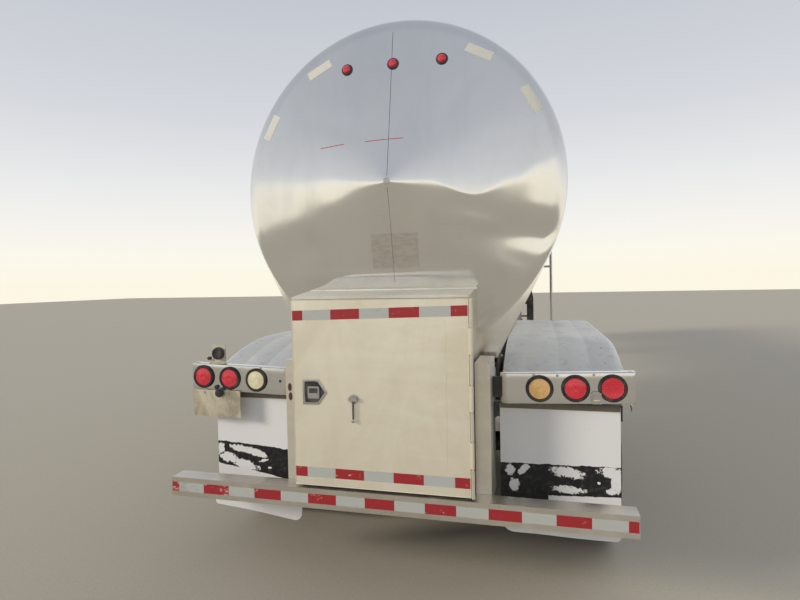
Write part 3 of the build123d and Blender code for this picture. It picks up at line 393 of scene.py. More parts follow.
GLUE_BOX = (-0.12, 0.145, 1.69, 1.88)
# Painted warm sunlight: golden tones that tint the cabinet and door steel the way the low sun
# lights it
CABINET_SUNLIT_TONE = (0.76, 0.70, 0.58)
DOOR_SUNLIT_TONE = (0.82, 0.75, 0.59)
PLATE_WARM = (0.40, 0.34, 0.24)
M = {
    "sheet": polished_steel("rear_sheet_steel", (0.87, 0.86, 0.83), 0.10, 0.010, GLUE_BOX),
    "jacket": polished_steel("jacket_steel", (0.76, 0.76, 0.75), 0.17, 0.012),
    "trim": polished_steel("trim_steel", (0.84, 0.83, 0.81), 0.10, 0.002),
    "panel": polished_steel("lamp_panel_steel", (0.80, 0.79, 0.77), 0.12, 0.030),
    # The cabinet's and door's cream base colours are painted warm sunlight on stainless steel
    "cabinet": brushed_steel(
        "cabinet_steel", (0.86, 0.82, 0.73), 0.30, "Z", CABINET_SUNLIT_TONE, metal=0.82, dirt=0.5
    ),
    "door": brushed_steel(
        "door_steel", (0.95, 0.89, 0.75), 0.30, "X", DOOR_SUNLIT_TONE, 0.60, blotches=3.6, dirt=0.15
    ),
    # The bumper's brightened, warm colours are painted sunlight on the steel
    "bar": brushed_steel("bumper_steel", (0.76, 0.72, 0.66), 0.30, "X", (0.64, 0.59, 0.50)),
    "fitting": brushed_steel("fitting_steel", (0.62, 0.61, 0.59), 0.28, "Y", (0.54, 0.52, 0.49)),
    "aluminium": dull_aluminium("fender_aluminium", (0.79, 0.77, 0.71), 0.42),
    "wheel": dull_aluminium("wheel_aluminium", (0.52, 0.51, 0.50), 0.36),
    "black": painted("chassis_black", (0.022, 0.022, 0.024), 0.42),
    "grey": painted("plate_pale", (0.56, 0.52, 0.42), 0.50, (0.34, 0.29, 0.20), 0.30),
    "plate": brushed_steel("plate_steel", (0.90, 0.83, 0.66), 0.40, "X", PLATE_WARM, 0.75, 9.0),
    "grime": painted("bracket_grimy", (0.14, 0.125, 0.09), 0.60, (0.34, 0.30, 0.22), 0.40),
    "pin": painted("pin_steel", (0.16, 0.155, 0.15), 0.38, (0.05, 0.045, 0.04), 0.10),
    "rubber": rubber("rubber_black", (0.018, 0.018, 0.019), 0.62),
    "tyre": rubber("tyre_rubber", (0.022, 0.022, 0.023), 0.78, 300.0),
    "flap_right": flap_material(1),
    "flap_left": flap_material(-1),
    "seam": painted("seam_dark", (0.10, 0.09, 0.08), 0.45, (0.20, 0.17, 0.13), 0.10),
    "rust": painted("rust_brown", (0.20, 0.10, 0.05), 0.75, (0.30, 0.20, 0.12), 0.60),
    # The second colour of each lens is its painted glint from the reflector
    "red": lens("lens_red", (0.62, 0.010, 0.030), (0.95, 0.05, 0.08)),
    "amber": lens("lens_amber", (0.80, 0.46, 0.15), (1.00, 0.72, 0.34)),
    "cream": lens("lens_cream", (0.76, 0.68, 0.44), (0.96, 0.90, 0.66)),
    "tape_red": tape("tape_red", (0.44, 0.018, 0.028), (0.60, 0.50, 0.46), 0.8),
    "tape_white": tape("tape_white", (0.58, 0.60, 0.57), (0.36, 0.35, 0.31), 0.8),
    "strip": tape("strip_cream", (0.86, 0.85, 0.77), (0.62, 0.59, 0.50), 0.5),
    "scratch": tape("scratch_red", (0.55, 0.10, 0.08), (0.6, 0.5, 0.48), 0.5),
    "plastic": rubber("plastic_black", (0.03, 0.03, 0.032), 0.40),
}

NODE_MATERIALS = {
    "jacket": "tank_barrel front_head rear_skirt coupler_skirt manhole_lid manhole_neck",
    "trim": "edge_trim jacket_bands",
    "panel": "lamp_panel_left lamp_panel_right",
    "cabinet": "cabinet_shell cabinet_hinge bumper_posts",
    "door": "cabinet_door",
    "bar": "rear_bumper bumper_braces",
    "fitting": "door_fittings outlet_valve manhole_fittings ladder",
    "aluminium": "fender_left fender_right fender_brackets walkway",
    "wheel": "rims_front_left rims_front_right rims_rear_left rims_rear_right",
    "black": "frame_rails cross_members side_panels axles brake_chambers trailing_arms "
    "suspension_hangers shock_absorbers landing_saddle landing_legs landing_braces "
    "landing_crank landing_feet air_reservoirs coupler_plate flap_hangers front_couplings",
    "pin": "kingpin",
    "rubber": "air_springs lamp_grommets",
    "tyre": "tyres_front_left tyres_front_right tyres_rear_left tyres_rear_right",
    "flap_left": "mud_flap_left",
    "flap_right": "mud_flap_right",
    "red": "stop_lamps id_lamps",
    "amber": "turn_lamps",
}
for key, names in NODE_MATERIALS.items():
    for node_name in names.split():
        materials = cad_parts[node_name].data.materials
        materials.clear()
        materials.append(M[key])


# Meshes


def arc(count, first=0.0, turn=2 * math.pi):
    """Angles from the first one on, evenly over a turn whose end is left out."""
    return [first + turn * i / count for i in range(count)]


def grid_of(rows, cols, place):
    """Rows of what place gives at even shares down and across, from 0 to 1."""
    return [[place(i / rows, j / cols) for j in range(cols + 1)] for i in range(rows + 1)]


BOX_SIDES = (
    (0, 1, 3, 2), (4, 6, 7, 5), (0, 4, 5, 1), (2, 3, 7, 6), (0, 2, 6, 4), (1, 5, 7, 3),
)


class Piece:
    """One Blender object built from simple parts, in metres in the CAD's frame."""

    def __init__(self, name, *materials):
        self.name = name
        self.mesh = bmesh.new()
        self.materials = materials

    def verts(self, points):
        return [self.mesh.verts.new(p) for p in points]

    def face(self, verts, mat=0, smooth=False):
        made = self.mesh.faces.new(verts)
        made.material_index = mat
        made.smooth = smooth

    def stitch(self, rings, mat=0, smooth=True):
        """Joins closed rings of vertices; a ring of one vertex is a tip."""
        for low, high in zip(rings, rings[1:]):
            for i in range(max(len(low), len(high))):
                quad = (ring[k % len(ring)] for ring, k in
                        ((low, i), (low, i + 1), (high, i + 1), (high, i)))
                unique = list(dict.fromkeys(quad))
                if len(unique) > 2:
                    self.face(unique, mat, smooth)

    def loft(self, loops, mat=0, end_mat=0, smooth=True):
        """A solid through loops of points, with flat ends."""
        rings = [self.verts(loop) for loop in loops]
        self.stitch(rings, mat, smooth)
        self.face(rings[0][::-1], mat)
        self.face(rings[-1], end_mat)

    def box(self, low, high, mat=0, bevel=0.0, at=(0, 0, 0)):
        (x0, y0, z0), (x1, y1, z1) = low, high
        corners = [(x, y, z) for x in (x0, x1) for y in (y0, y1) for z in (z0, z1)]
        verts = self.verts([Vector(corner) + Vector(at) for corner in corners])
        for side in BOX_SIDES:
            self.face([verts[i] for i in side], mat)
        if bevel:
            edges = {e for v in verts for e in v.link_edges}
            bmesh.ops.bevel(
                self.mesh, geom=list(edges), offset=bevel, segments=2, affect="EDGES", material=-1
            )

    def spin(self, profile, origin, axis, mat=0, segs=32, smooth=True, radius_of=None):
        """Turns (along, radius) points about an axis; a radius of 0 is a tip."""
        axis = Vector(axis).normalized()
        side = axis.orthogonal().normalized()
        other = axis.cross(side)
        rings = []
        for k, (along, radius) in enumerate(profile):
            at = Vector(origin) + axis * along
            ring = []
            for i, a in enumerate(arc(segs if radius else 1)):
                r = radius_of(k, i, radius) if radius_of else radius
                ring.append(at + (side * math.cos(a) + other * math.sin(a)) * r)
            rings.append(self.verts(ring))
        self.stitch(rings, mat, smooth)

    def turned(self, rows, origin, axis, mat=0, segs=32, smooth=True):
        """A turned solid from (along, radius) rows, closed flat at its ends."""
        first = [(rows[0][0], 0)]
        last = [(rows[-1][0], 0)] if rows[-1][1] else []
        self.spin(first + list(rows) + last, origin, axis, mat, segs, smooth)

    def ring_spin(self, profile, origin, axis, mat=0, segs=32, radius_of=None):
        """A closed section turned about an axis, such as a tyre or a ring."""
        self.spin(list(profile) + [profile[0]], origin, axis, mat, segs, True, radius_of)
        bmesh.ops.remove_doubles(self.mesh, verts=self.mesh.verts, dist=1e-6)

    def tube(self, path, radius, mat=0, segs=10):
        path = [Vector(p) for p in path]
        loops = []
        side = None
        for before, p, after in zip(path[:1] + path, path, path[1:] + path[-1:]):
            direction = (after - before).normalized()
            if side is None:
                side = direction.orthogonal()
            side = (side - direction * side.dot(direction)).normalized()
            other = direction.cross(side)
            around = [side * math.cos(a) + other * math.sin(a) for a in arc(segs)]
            loops.append([p + out * radius for out in around])
        self.loft(loops, mat, mat)

    def sheet(self, grid, thick, mat=0):
        """A plate from rows of (point, normal), closed on its back and edges."""
        front = [self.verts([p for p, _ in row]) for row in grid]
        back = [self.verts([Vector(p) - Vector(n) * thick for p, n in row]) for row in grid]
        quads = []
        for (a, b), (c, d) in zip(zip(front, front[1:]), zip(back, back[1:])):
            for j in range(len(a) - 1):
                quads.append((a[j], a[j + 1], b[j + 1], b[j]))
                quads.append((c[j], d[j], d[j + 1], c[j + 1]))
            quads.append((a[0], b[0], d[0], c[0]))
            quads.append((a[-1], c[-1], d[-1], b[-1]))
        for a, c in ((front[0], back[0]), (back[-1], front[-1])):
            quads += [(a[j], c[j], c[j + 1], a[j + 1]) for j in range(len(a) - 1)]
        for quad in quads:
            self.face(quad, mat, True)

    def bolt(self, at, axis, size=0.009, mat=0, washer=True):
        """A hexagon head on its washer."""
        seat = size * 0.25
        if washer:
            self.turned([(0, size * 1.55), (seat, size * 1.5)], at, axis, mat, 14, False)
        head = [(seat, size), (size * 0.95, size), (size * 1.1, size * 0.8)]
        self.turned(head, at, axis, mat, 6, False)

    def done(self, body=TRAILER, replaces=(), angle=35.0):
        bmesh.ops.recalc_face_normals(self.mesh, faces=self.mesh.faces)
        data = bpy.data.meshes.new(self.name)
        self.mesh.to_mesh(data)
        self.mesh.free()
        for key in self.materials:
            data.materials.append(M[key])
        obj = bpy.data.objects.new(self.name, data)
        bpy.context.scene.collection.objects.link(obj)
        data.set_sharp_from_angle(angle=math.radians(angle))
        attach(obj, body)
        if replaces:
            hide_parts(*replaces)


def smoothstep(low, high, value):
    t = min(max((value - low) / (high - low), 0.0), 1.0)
    return t * t * (3 - 2 * t)


# The rear sheet. Its edge leaves the tank's circle on tangents to the skirt's corners.
REACH = math.hypot(SKIRT_HALF, AXIS_Z - SKIRT_Z)
CORNER = math.atan2(SKIRT_Z - AXIS_Z, SKIRT_HALF)
TANGENT = CORNER + math.acos(TANK_R / REACH)


def outline_reach(angle):
    """Distance from the tank's axis to the sheet's edge in a direction."""
    dx, dz = abs(math.cos(angle)), math.sin(angle)
    if math.atan2(dz, dx) >= TANGENT:
        return TANK_R
    if math.atan2(dz, dx) <= CORNER:
        return (SKIRT_Z - AXIS_Z) / dz
    px, pz = TANK_R * math.cos(TANGENT), TANK_R * math.sin(TANGENT)
    ex, ez = SKIRT_HALF - px, SKIRT_Z - AXIS_Z - pz
    return (px * ez - pz * ex) / (dx * ez - dz * ex)


# The sheet's crooked fold: (x, height above the tank's axis)
FOLD = (
    (-0.95, 0.100), (-0.45, 0.055), (0.0, 0.0), (0.20, 0.0),
    (0.45, -0.078), (0.66, 0.0), (0.80, 0.078), (0.95, 0.165),
)
# The fold is sharp in the middle and rolls over softly towards the edges: (x, softness)
FOLD_SOFT = ((-0.95, 0.075), (-0.04, 0.008), (0.42, 0.008), (0.60, 0.018), (0.95, 0.042))
FOLD_PROUD = 0.022
FADE_ABOVE, FADE_BELOW = 0.60, 0.20
# Dents in the sheet: centre x and z, direction, half length, half width, depth
DENTS = (
    (0.76, 1.85, -0.18, 0.28, 0.085, 0.010),
    (0.66, 1.65, -0.45, 0.24, 0.060, -0.005),
    (0.45, 1.93, -0.20, 0.16, 0.045, -0.004),
    (-0.55, 1.80, 0.25, 0.30, 0.110, 0.006),
    (-0.10, 1.66, 0.02, 0.40, 0.035, -0.005),
    (0.36, 2.60, 1.00, 0.14, 0.050, 0.003),
    (-0.30, 2.50, -0.40, 0.20, 0.090, 0.003),
)
SHEET_SEAT = SHEET_Y - 0.0015
SHEET_BACK = SHEET_Y - 0.0003


def along_table(table, x):
    """Eased value of a table of (x, value) rows."""
    for (x0, v0), (x1, v1) in zip(table, table[1:]):
        if x <= x1:
            return v0 + (v1 - v0) * smoothstep(x0, x1, x)
    return table[-1][1]


def sheet_y(x, z):
    """The rear sheet's surface along Y: a shallow cone with a fold and dents."""
    dz = z - AXIS_Z
    t = min(math.hypot(x, dz) / TANK_R, 1.0)
    above = dz - along_table(FOLD, x)
    fade = FADE_ABOVE if above > 0 else FADE_BELOW
    soft = along_table(FOLD_SOFT, x)
    shift = -FOLD_PROUD * math.exp((soft - math.hypot(above, soft)) / fade)
    for cx, cz, angle, length, half, depth in DENTS:
        cos, sin = math.cos(angle), math.sin(angle)
        u = (x - cx) * cos + (z - cz) * sin
        v = (z - cz) * cos - (x - cx) * sin
        shift += depth * math.exp(-((u / length) ** 2) - (v / half) ** 2)
    shift += 0.0016 * noise.noise(Vector((x * 2.6, z * 2.6, 3.1)))
    shift += 0.0006 * noise.noise(Vector((x * 7.0, z * 7.0, 8.4)))
    return APEX_Y + (SHEET_SEAT - APEX_Y) * t + smoothstep(1.0, 0.94, t) * shift


def on_sheet(x, z):
    """A point on the rear sheet, and the way out from it."""
    h = 0.004
    gx = (sheet_y(x + h, z) - sheet_y(x - h, z)) / (2 * h)
    gz = (sheet_y(x, z + h) - sheet_y(x, z - h)) / (2 * h)
    return Vector((x, sheet_y(x, z), z)), Vector((gx, -1.0, gz)).normalized()


def build_sheet():
    """The sheet as rings about its middle, then out to the skirt's corners."""
    piece = Piece("rear_sheet_skin", "sheet")
    steps, corner_steps = 84, 5
    angles = arc(540)

    def vert(angle, reach):
        x, z = reach * math.cos(angle), AXIS_Z + reach * math.sin(angle)
        return piece.mesh.verts.new((x, sheet_y(x, z), z))

    rings = [[vert(a, TANK_R * s / steps) for a in angles] for s in range(1, steps + 1)]
    for s in range(1, corner_steps + 1):
        ring = []
        for last, a in zip(rings[-1], angles):
            extra = outline_reach(a) - TANK_R
            ring.append(last if extra < 0.0004 else vert(a, TANK_R + extra * s / corner_steps))
        rings.append(ring)
    rings.append(piece.verts([(v.co.x, SHEET_BACK, v.co.z) for v in rings[-1]]))
    middle = piece.verts([(0, sheet_y(0, AXIS_Z), AXIS_Z)])
    back = piece.verts([(0, SHEET_BACK, AXIS_Z)])
    piece.stitch([middle] + rings + [back])
    piece.done(replaces=["rear_sheet"], angle=60)


def patch(piece, cx, cz, angle, half_u, half_v, proud, thick=0.0006, rows=4, cols=12):
    """A small flat patch laid on the sheet."""

    def place(down, across):
        u, v = (across * 2 - 1) * half_u, (down * 2 - 1) * half_v
        x = cx + u * math.cos(angle) - v * math.sin(angle)
        z = cz + u * math.sin(angle) + v * math.cos(angle)
        point, out = on_sheet(x, z)
        return point + out * proud, out

    piece.sheet(grid_of(rows, cols, place), thick)


# The weld seam below and above the apex: first and last height, steps, depth, radius
SEAMS = (
    (1.61, AXIS_Z - 0.03, 40, 0.0004, 0.0012),
    (AXIS_Z + 0.03, AXIS_Z + TANK_R - 0.06, 60, 0.0002, 0.0016),
)
# Cream strips near the sheet's edge: centre x and z, and their turn off the circle
STRIPS = ((-0.440, 2.847, -0.12), (0.477, 2.839, 0.12), (0.745, 2.565, 0.0), (-0.752, 2.545, 0.0))
# Red scratches from (x, z) to (x, z)
SCRATCHES = ((-0.412, 2.376, -0.262, 2.383), (-0.136, 2.382, 0.080, 2.383))
ID_LAMPS = ((-0.263, 2.819), (0.008, 2.817), (0.279, 2.816))


def build_sheet_details():
    seam = Piece("centre_seam", "seam", "fitting")
    for z0, z1, count, depth, radius in SEAMS:
        heights = [z0 + (z1 - z0) * i / count for i in range(count + 1)]
        seam.tube([(0.0, sheet_y(0.0, z) + depth, z) for z in heights], radius, segs=6)
    cap = [(0.004, 0.017), (-0.0015, 0.018), (-0.003, 0.015), (-0.002, 0.008), (-0.003, 0.004)]
    seam.turned(cap, (0, sheet_y(0, AXIS_Z), AXIS_Z), (0, 1, 0), 1, 28)
    seam.done()

    strips = Piece("sheet_strips", "strip")
    for cx, cz, turn in STRIPS:
        angle = math.atan2(cz - AXIS_Z, cx) - math.pi / 2 + turn
        patch(strips, cx, cz, angle, 0.076, 0.0255, 0.0010)
    strips.done()

    marks = Piece("sheet_scratches", "scratch")
    for x0, z0, x1, z1 in SCRATCHES:
        half = math.hypot(x1 - x0, z1 - z0) / 2
        angle = math.atan2(z1 - z0, x1 - x0)
        cx, cz = (x0 + x1) / 2, (z0 + z1) / 2
        patch(marks, cx, cz, angle, half, 0.0022, 0.0004, 0.0003, rows=1, cols=14)
    marks.done()

    ids = Piece("id_lamp_set", "red", "plastic")
    ring = [(-0.012, 0.024), (-0.012, 0.0325), (0.002, 0.0335), (0.008, 0.031), (0.010, 0.0265),
            (0.008, 0.024)]
    dome = [(-0.010, 0.0245), (0.009, 0.0245), (0.014, 0.021), (0.018, 0.013), (0.019, 0)]
    for x, z in ID_LAMPS:
        at, out = on_sheet(x, z)
        ids.ring_spin(ring, at, out, 1, 36)
        ids.turned(dome, at, out, 0, 32)
    ids.done(replaces=["id_lamps"])


# Red and white tape comes in blocks 6 in long and 2 in high
BLOCK = 0.1524


def tape_row(name, x0, x1, first, y, z, body, slant=0.0):
    """A row of red and white blocks on a face that looks to the rear."""
    piece = Piece(name, "tape_red", "tape_white")
    edges = [x0]
    step = first
    while step < x1:
        if step > x0 + 0.004:
            edges.append(step)
        step += BLOCK
    edges.append(x1)
    for k, (a, b) in enumerate(zip(edges, edges[1:])):

        def place(up, across):
            x = a + (b - a) * across
            height = z + BLOCK / 3 * (up - 0.5) + slant * x
            lift = 0.0005 + 0.0004 * noise.noise(Vector((x * 30, height * 40, k)))
            return Vector((x, y - lift, height)), Vector(REARWARDS)

        piece.sheet(grid_of(3, max(2, int((b - a) / 0.02)), place), 0.0003, k % 2)
    piece.done(body=body)


def build_tapes():
    tape_row("bumper_tape", -1.186, 1.186, -1.143, REAR, 0.520, TRAILER)
    tape_row("door_tape_top", -0.452, 0.448, -0.395, DOOR_Y, 1.4635, "cabinet_door", 0.024)
    tape_row("door_tape_bottom", -0.452, 0.452, -0.387, DOOR_Y, 0.651, "cabinet_door")


# Lamps
LAMP_XS = (0.770, 0.938, 1.106)
LAMP_Z = 1.080
TILT = math.radians(2.0)
PANEL_X = (0.578, 1.186)
PANEL_HALF = 0.076
PANEL_END_R = 0.045
PANEL_BACK_R = 0.010
PANEL_BEND = 0.006
# The right panel is knocked outwards past this place
FLARE_X, FLARE = 1.150, 0.60


def lamp_place(x, side, offset=(0, 0, 0)):
    """A point on the lamp panel's tilted face, or off it."""
    dx = x - LAMP_XS[0]
    px, pz = LAMP_XS[0] + dx * math.cos(TILT), LAMP_Z + dx * math.sin(TILT)
    return Vector((side * px, PANEL_Y, pz)) + Vector(offset)


def panel_plan():
    """The panel seen from above as (x, depth, normal x, normal y), from its inner end."""
    plan = []
    for k in range(13):
        a = math.pi + math.pi / 2 * k / 12
        cos, sin = math.cos(a), math.sin(a)
        plan.append((PANEL_X[0] + PANEL_END_R * (1 + cos), PANEL_END_R * (1 + sin), cos, sin))
    plan += [(x, 0.0, 0.0, -1.0) for x in (0.70, 0.85, 1.00, 1.10, 1.176)]
    for k in range(1, 7):
        a = -math.pi / 2 * (1 - k / 6)
        cos, sin = math.cos(a), math.sin(a)
        plan.append((PANEL_X[1] - PANEL_BACK_R * (1 - cos), PANEL_BACK_R * (1 + sin), cos, sin))
    return plan + [(PANEL_X[1] + 0.002, 0.052, 1.0, 0.0)]


def panel_section():
    """The panel cut across as (depth, height, normal z), from its upper flange down."""
    section = [(0.040, PANEL_HALF, 1.0), (0.020, PANEL_HALF, 1.0)]
    for k in range(5):
        cos, sin = math.cos(math.pi / 8 * k), math.sin(math.pi / 8 * k)
        section.append((PANEL_BEND * (1 - sin), PANEL_HALF - PANEL_BEND * (1 - cos), cos))
    section += [(0.0, PANEL_HALF * 0.5, 0.0), (0.0, 0.0, 0.0)]
    return section + [(depth, -height, -up) for depth, height, up in section[-2::-1]]


def build_lamp_panels():
    """Bent sheet boxes with a rolled inner end, tilted like the lamps."""
    piece = Piece("lamp_panels_bent", "panel", "black")

    def place(side, row, column):
        (depth, height, up), (x, y, nx, ny) = row, column
        flat = math.sqrt(max(0.0, 1.0 - up * up))
        rolled = x < PANEL_X[0] + PANEL_END_R
        inset = min(depth, PANEL_END_R - 0.004) if rolled else depth
        px, py = x - nx * inset, y - ny * inset
        z = LAMP_Z + height + (px - LAMP_XS[0]) * math.sin(TILT)
        if side > 0:
            px += FLARE * max(0.0, px - FLARE_X)
        dent = 0.0012 * noise.noise(Vector((px * 9 * side, height * 12, 5.5)))
        point = Vector((side * px, PANEL_Y + py + dent, z))
        return point, Vector((side * nx * flat, ny * flat, up))

    for side in SIDES:
        grid = [[place(side, row, col) for col in panel_plan()[::side]] for row in panel_section()]
        piece.sheet(grid, 0.0022)
        low, high = sorted((side * 0.541, side * 0.600))
        piece.box((low, 0.022, -0.055), (high, 0.036, 0.050), 1, 0.002, (0, PANEL_Y, LAMP_Z))
    names = ["lamp_panel_left", "lamp_panel_right"]
    piece.done(replaces=names, angle=40)


LAMP_RIM = [(-0.026, 0.0490), (0.004, 0.0505), (0.010, 0.0500), (0.0115, 0.0470), (0.0100, 0.0445)]
LAMP_DOME = [(0.0105, 0.0425), (0.0118, 0.0350), (0.0110, 0.0335), (0.0135, 0.0240),
             (0.0128, 0.0225), (0.0148, 0.0120), (0.0142, 0.0105), (0.0150, 0.0)]
LED_FACE = [(0.0095, 0.0430)]
LED_RINGS = ((0.0, 1), (0.0125, 6), (0.0250, 12), (0.0365, 18))
LAMP_SEAL = [(-0.020, 0.0508), (-0.020, 0.0560), (0.000, 0.0568), (0.0006, 0.0650),
             (0.0055, 0.0668), (0.0115, 0.0630), (0.0130, 0.0565), (0.0110, 0.0512)]


def build_lamps():
    """Three lamps a side; the outermost on the right is a newer one with diodes."""
    lamps = Piece("round_lamps", "red", "amber", "cream", "plastic")
    seals = Piece("lamp_seals", "rubber")
    for side in SIDES:
        for i, x in enumerate(LAMP_XS):
            at = lamp_place(x, side)
            mat = 0 if i else (1 if side > 0 else 2)
            diodes = side > 0 and i == 2
            lamps.turned(LAMP_RIM + (LED_FACE if diodes else LAMP_DOME), at, REARWARDS, mat, 48)
            for ring_r, count in LED_RINGS if diodes else ():
                for a in arc(count):
                    dot = at + Vector((ring_r * math.cos(a), -0.0094, ring_r * math.sin(a)))
                    bead = [(-0.001, 0.0052), (0.0018, 0.0040), (0.0030, 0.0)]
                    lamps.spin(bead, dot, REARWARDS, 0, 12)
            seals.ring_spin(LAMP_SEAL, at, REARWARDS, 0, 48)
    lamps.done(replaces=["stop_lamps", "turn_lamps"])
    seals.done(replaces=["lamp_grommets"])


def build_panel_details():
    """The plate lamp, screws, plug and knob on the lamp panels."""
    small = Piece("lamp_panel_details", "fitting", "plastic", "cream", "grey")
    at = lamp_place(1.034, 1, (0, 0, -0.045))
    small.box((-0.026, -0.016, -0.030), (0.026, 0.0, 0.030), 0, 0.006, at)
    small.box((-0.020, -0.026, -0.008), (0.020, -0.014, 0.012), 0, 0.005, at)
    small.box((-0.016, -0.024, -0.012), (0.016, -0.014, -0.007), 2, 0.002, at)
    for side, x, z, size, mat in (
        (1, 0.854, 0.062, 0.0045, 0), (1, 1.022, 0.064, 0.0045, 0), (1, 0.743, 0.066, 0.0045, 0),
        (-1, 0.624, 0.002, 0.0050, 1), (-1, 0.743, 0.066, 0.0045, 0),
    ):
        small.bolt(lamp_place(x, side, (0, 0, z)), REARWARDS, size, mat)
    plug = [(-0.012, 0.024), (0.010, 0.025), (0.016, 0.019), (0.020, 0.018), (0.024, 0.011)]
    small.turned(plug, lamp_place(1.0, -1, (0, -0.012, -0.086)), REARWARDS, 1, 28)
    knob = [(0, 0.012), (0.008, 0.012), (0.011, 0.008)]
    small.turned(knob, lamp_place(1.024, -1, (0, -0.001, -0.056)), REARWARDS, 1, 20)
    top = lamp_place(1.018, -1, (0, 0.022, 0.076))
    small.box((-0.046, -0.012, 0.0), (0.044, 0.014, 0.004), 3, 0.001, top)
    small.box((-0.044, 0.000, 0.003), (0.042, 0.004, 0.108), 3, 0.0015, top)
    horn = [(-0.002, 0.034), (0.010, 0.036), (0.022, 0.034), (0.026, 0.028), (0.022, 0.024),
            (0.018, 0.010)]
    small.turned(horn, top + Vector((0.0, 0.0, 0.060)), REARWARDS, 1, 32)
    stub = [(0, 0.010), (0.016, 0.010), (0.019, 0.007)]
    small.turned(stub, top + Vector((-0.062, 0.004, 0.030)), REARWARDS, 1, 18)
    small.box((-0.068, 0.002, 0.002), (-0.052, 0.008, 0.040), 3, 0.001, top)
    small.done()


PLATE_X = (-1.180, -0.872)
PLATE_Z = (0.862, 1.016)


def build_plate():
    """The battered pale plate that hangs under the left lamps, bare."""
    piece = Piece("plate_holder", "plate", "fitting")

    def place(drop, across):
        x = PLATE_X[0] + (PLATE_X[1] - PLATE_X[0]) * across
        z = PLATE_Z[1] + (PLATE_Z[0] - PLATE_Z[1]) * drop
        bend = 0.012 * drop * drop * noise.noise(Vector((x * 7, z * 5, 1.7)))
        bend += 0.010 * drop * max(0.0, (-1.10 - x) / 0.08)
        z += 0.006 * drop * noise.noise(Vector((x * 22, 0.4, 2.2)))
        return Vector((x, PLATE_Y + bend, z)), Vector(REARWARDS)

    piece.sheet(grid_of(12, 24, place), 0.002)
    for x in (-1.10, -0.95):
        piece.box((-0.012, 0.0025, 0.992), (0.012, 0.0080, 1.022), 1, 0.001, (x, PLATE_Y, 0))
        piece.bolt((x, PLATE_Y - 0.0002, 1.000), REARWARDS, 0.005, 1)
    piece.done()


# Mud flaps: inner and outer edge, spread of each edge under the bumper, inner and outer
# corner radius, sag
FLAPS = {
    1: (0.573, 1.149, 0.0, 0.0, 0.068, 0.026, 0.0),
    -1: (0.573, 1.069, 0.032, 0.026, 0.045, 0.022, 0.052),
}
FLAP_Z = (0.323, 0.984)
FLAP_FACE_Y = REAR + 0.265
# Between these heights the flap goes behind the bumper
HIDDEN_Z = (0.455, 0.505)


def corner_cut(z, bottom, radius):
    """How far a rounded lower corner takes the edge in at height z."""
    t = min(max((bottom + radius - z) / radius, 0.0), 1.0)
    return radius * (1.0 - math.sqrt(1.0 - t * t))


def build_flap(side):
    piece = Piece("flap_" + SIDES[side], "flap_" + SIDES[side], "grime")
    x0, x1, spread_in, spread_out, radius_in, radius_out, sag = FLAPS[side]
    z0, z1 = FLAP_Z

    def place(down, across):
        v = math.sin(math.pi / 2 * down)
        u = across if side > 0 else 1.0 - across
        level = z1 + (z0 - z1) * v
        hidden = smoothstep(HIDDEN_Z[1], HIDDEN_Z[0], level)
        low = x0 - spread_in * hidden + corner_cut(level, z0, radius_in)
        high = x1 + spread_out * hidden - corner_cut(level, z0, radius_out)
        x = low + (high - low) * u
        z = level - sag * (1.0 - u) * smoothstep(0.60, z0, level)
        wave = 0.005 * v * math.sin(5.0 * u + side)
        wave += 0.006 * v * v * noise.noise(Vector((x * 2.0, z * 2.0, side)))
        return Vector((side * x, FLAP_FACE_Y + wave, z)), Vector(REARWARDS)

    piece.sheet(grid_of(52, 36, place), 0.0085)
    for k in range(5):
        x = x0 + 0.05 + (x1 - x0 - 0.10) * k / 4
        piece.bolt((side * x, FLAP_BAR_Y, 0.977), REARWARDS, 0.006, 1)
    low, high = sorted((side * (x0 + 0.002), side * (x1 - 0.002)))
    piece.box((low, -0.0055, 0.964), (high, 0.0, 0.992), 1, 0.0008, (0, FLAP_BAR_Y, 0))
    piece.done(replaces=["mud_flap_" + SIDES[side]])


# Fenders
FENDER_TOP = 1.242
FENDER_X = (0.576, 1.216)
FENDER_REAR_Y = REAR + 0.318
FENDER_FRONT_DEG = 12.0
CROWN_Y = REAR + 1.150
FLAT = 1.400
REAR_R, FRONT_R = 1.600, 0.700
SHOULDER = 0.055


def fender_path():
    """Points (y, z) and outward normals along the fender from its rear edge."""
    up = math.pi / 2
    rear = up + math.asin((CROWN_Y - FENDER_REAR_Y) / REAR_R)
    front = math.radians(FENDER_FRONT_DEG)

    def bend(y, radius, first, last):
        angles = [first + (last - first) * i / 24 for i in range(25)]
        circle = [(math.cos(a), math.sin(a)) for a in angles]
        return [(y + radius * c, FENDER_TOP - radius + radius * s, c, s) for c, s in circle]

    flat = [(CROWN_Y + FLAT * i / 12, FENDER_TOP, 0.0, 1.0) for i in range(1, 12)]
    return bend(CROWN_Y, REAR_R, rear, up) + flat + bend(CROWN_Y + FLAT, FRONT_R, up, front)


def fender_section():
    """(x, height, lean) across the fender: three grooves, then the rolled shoulder."""
    section = [(FENDER_X[0], 0.0, 0.0)]
    for x in (0.70, 0.88, 1.04):
        for dx, dz in ((-0.010, 0.0), (-0.004, -0.0014), (0.004, -0.0014), (0.010, 0.0)):
            section.append((x + dx, dz, 0.0))
    for k in range(13):
        a = math.pi / 2 * k / 12
        x, z = FENDER_X[1] - SHOULDER * (1 - math.sin(a)), -SHOULDER * (1 - math.cos(a))
        section.append((x, z, a))
    return section + [(FENDER_X[1], -SHOULDER - 0.020, math.pi / 2)]


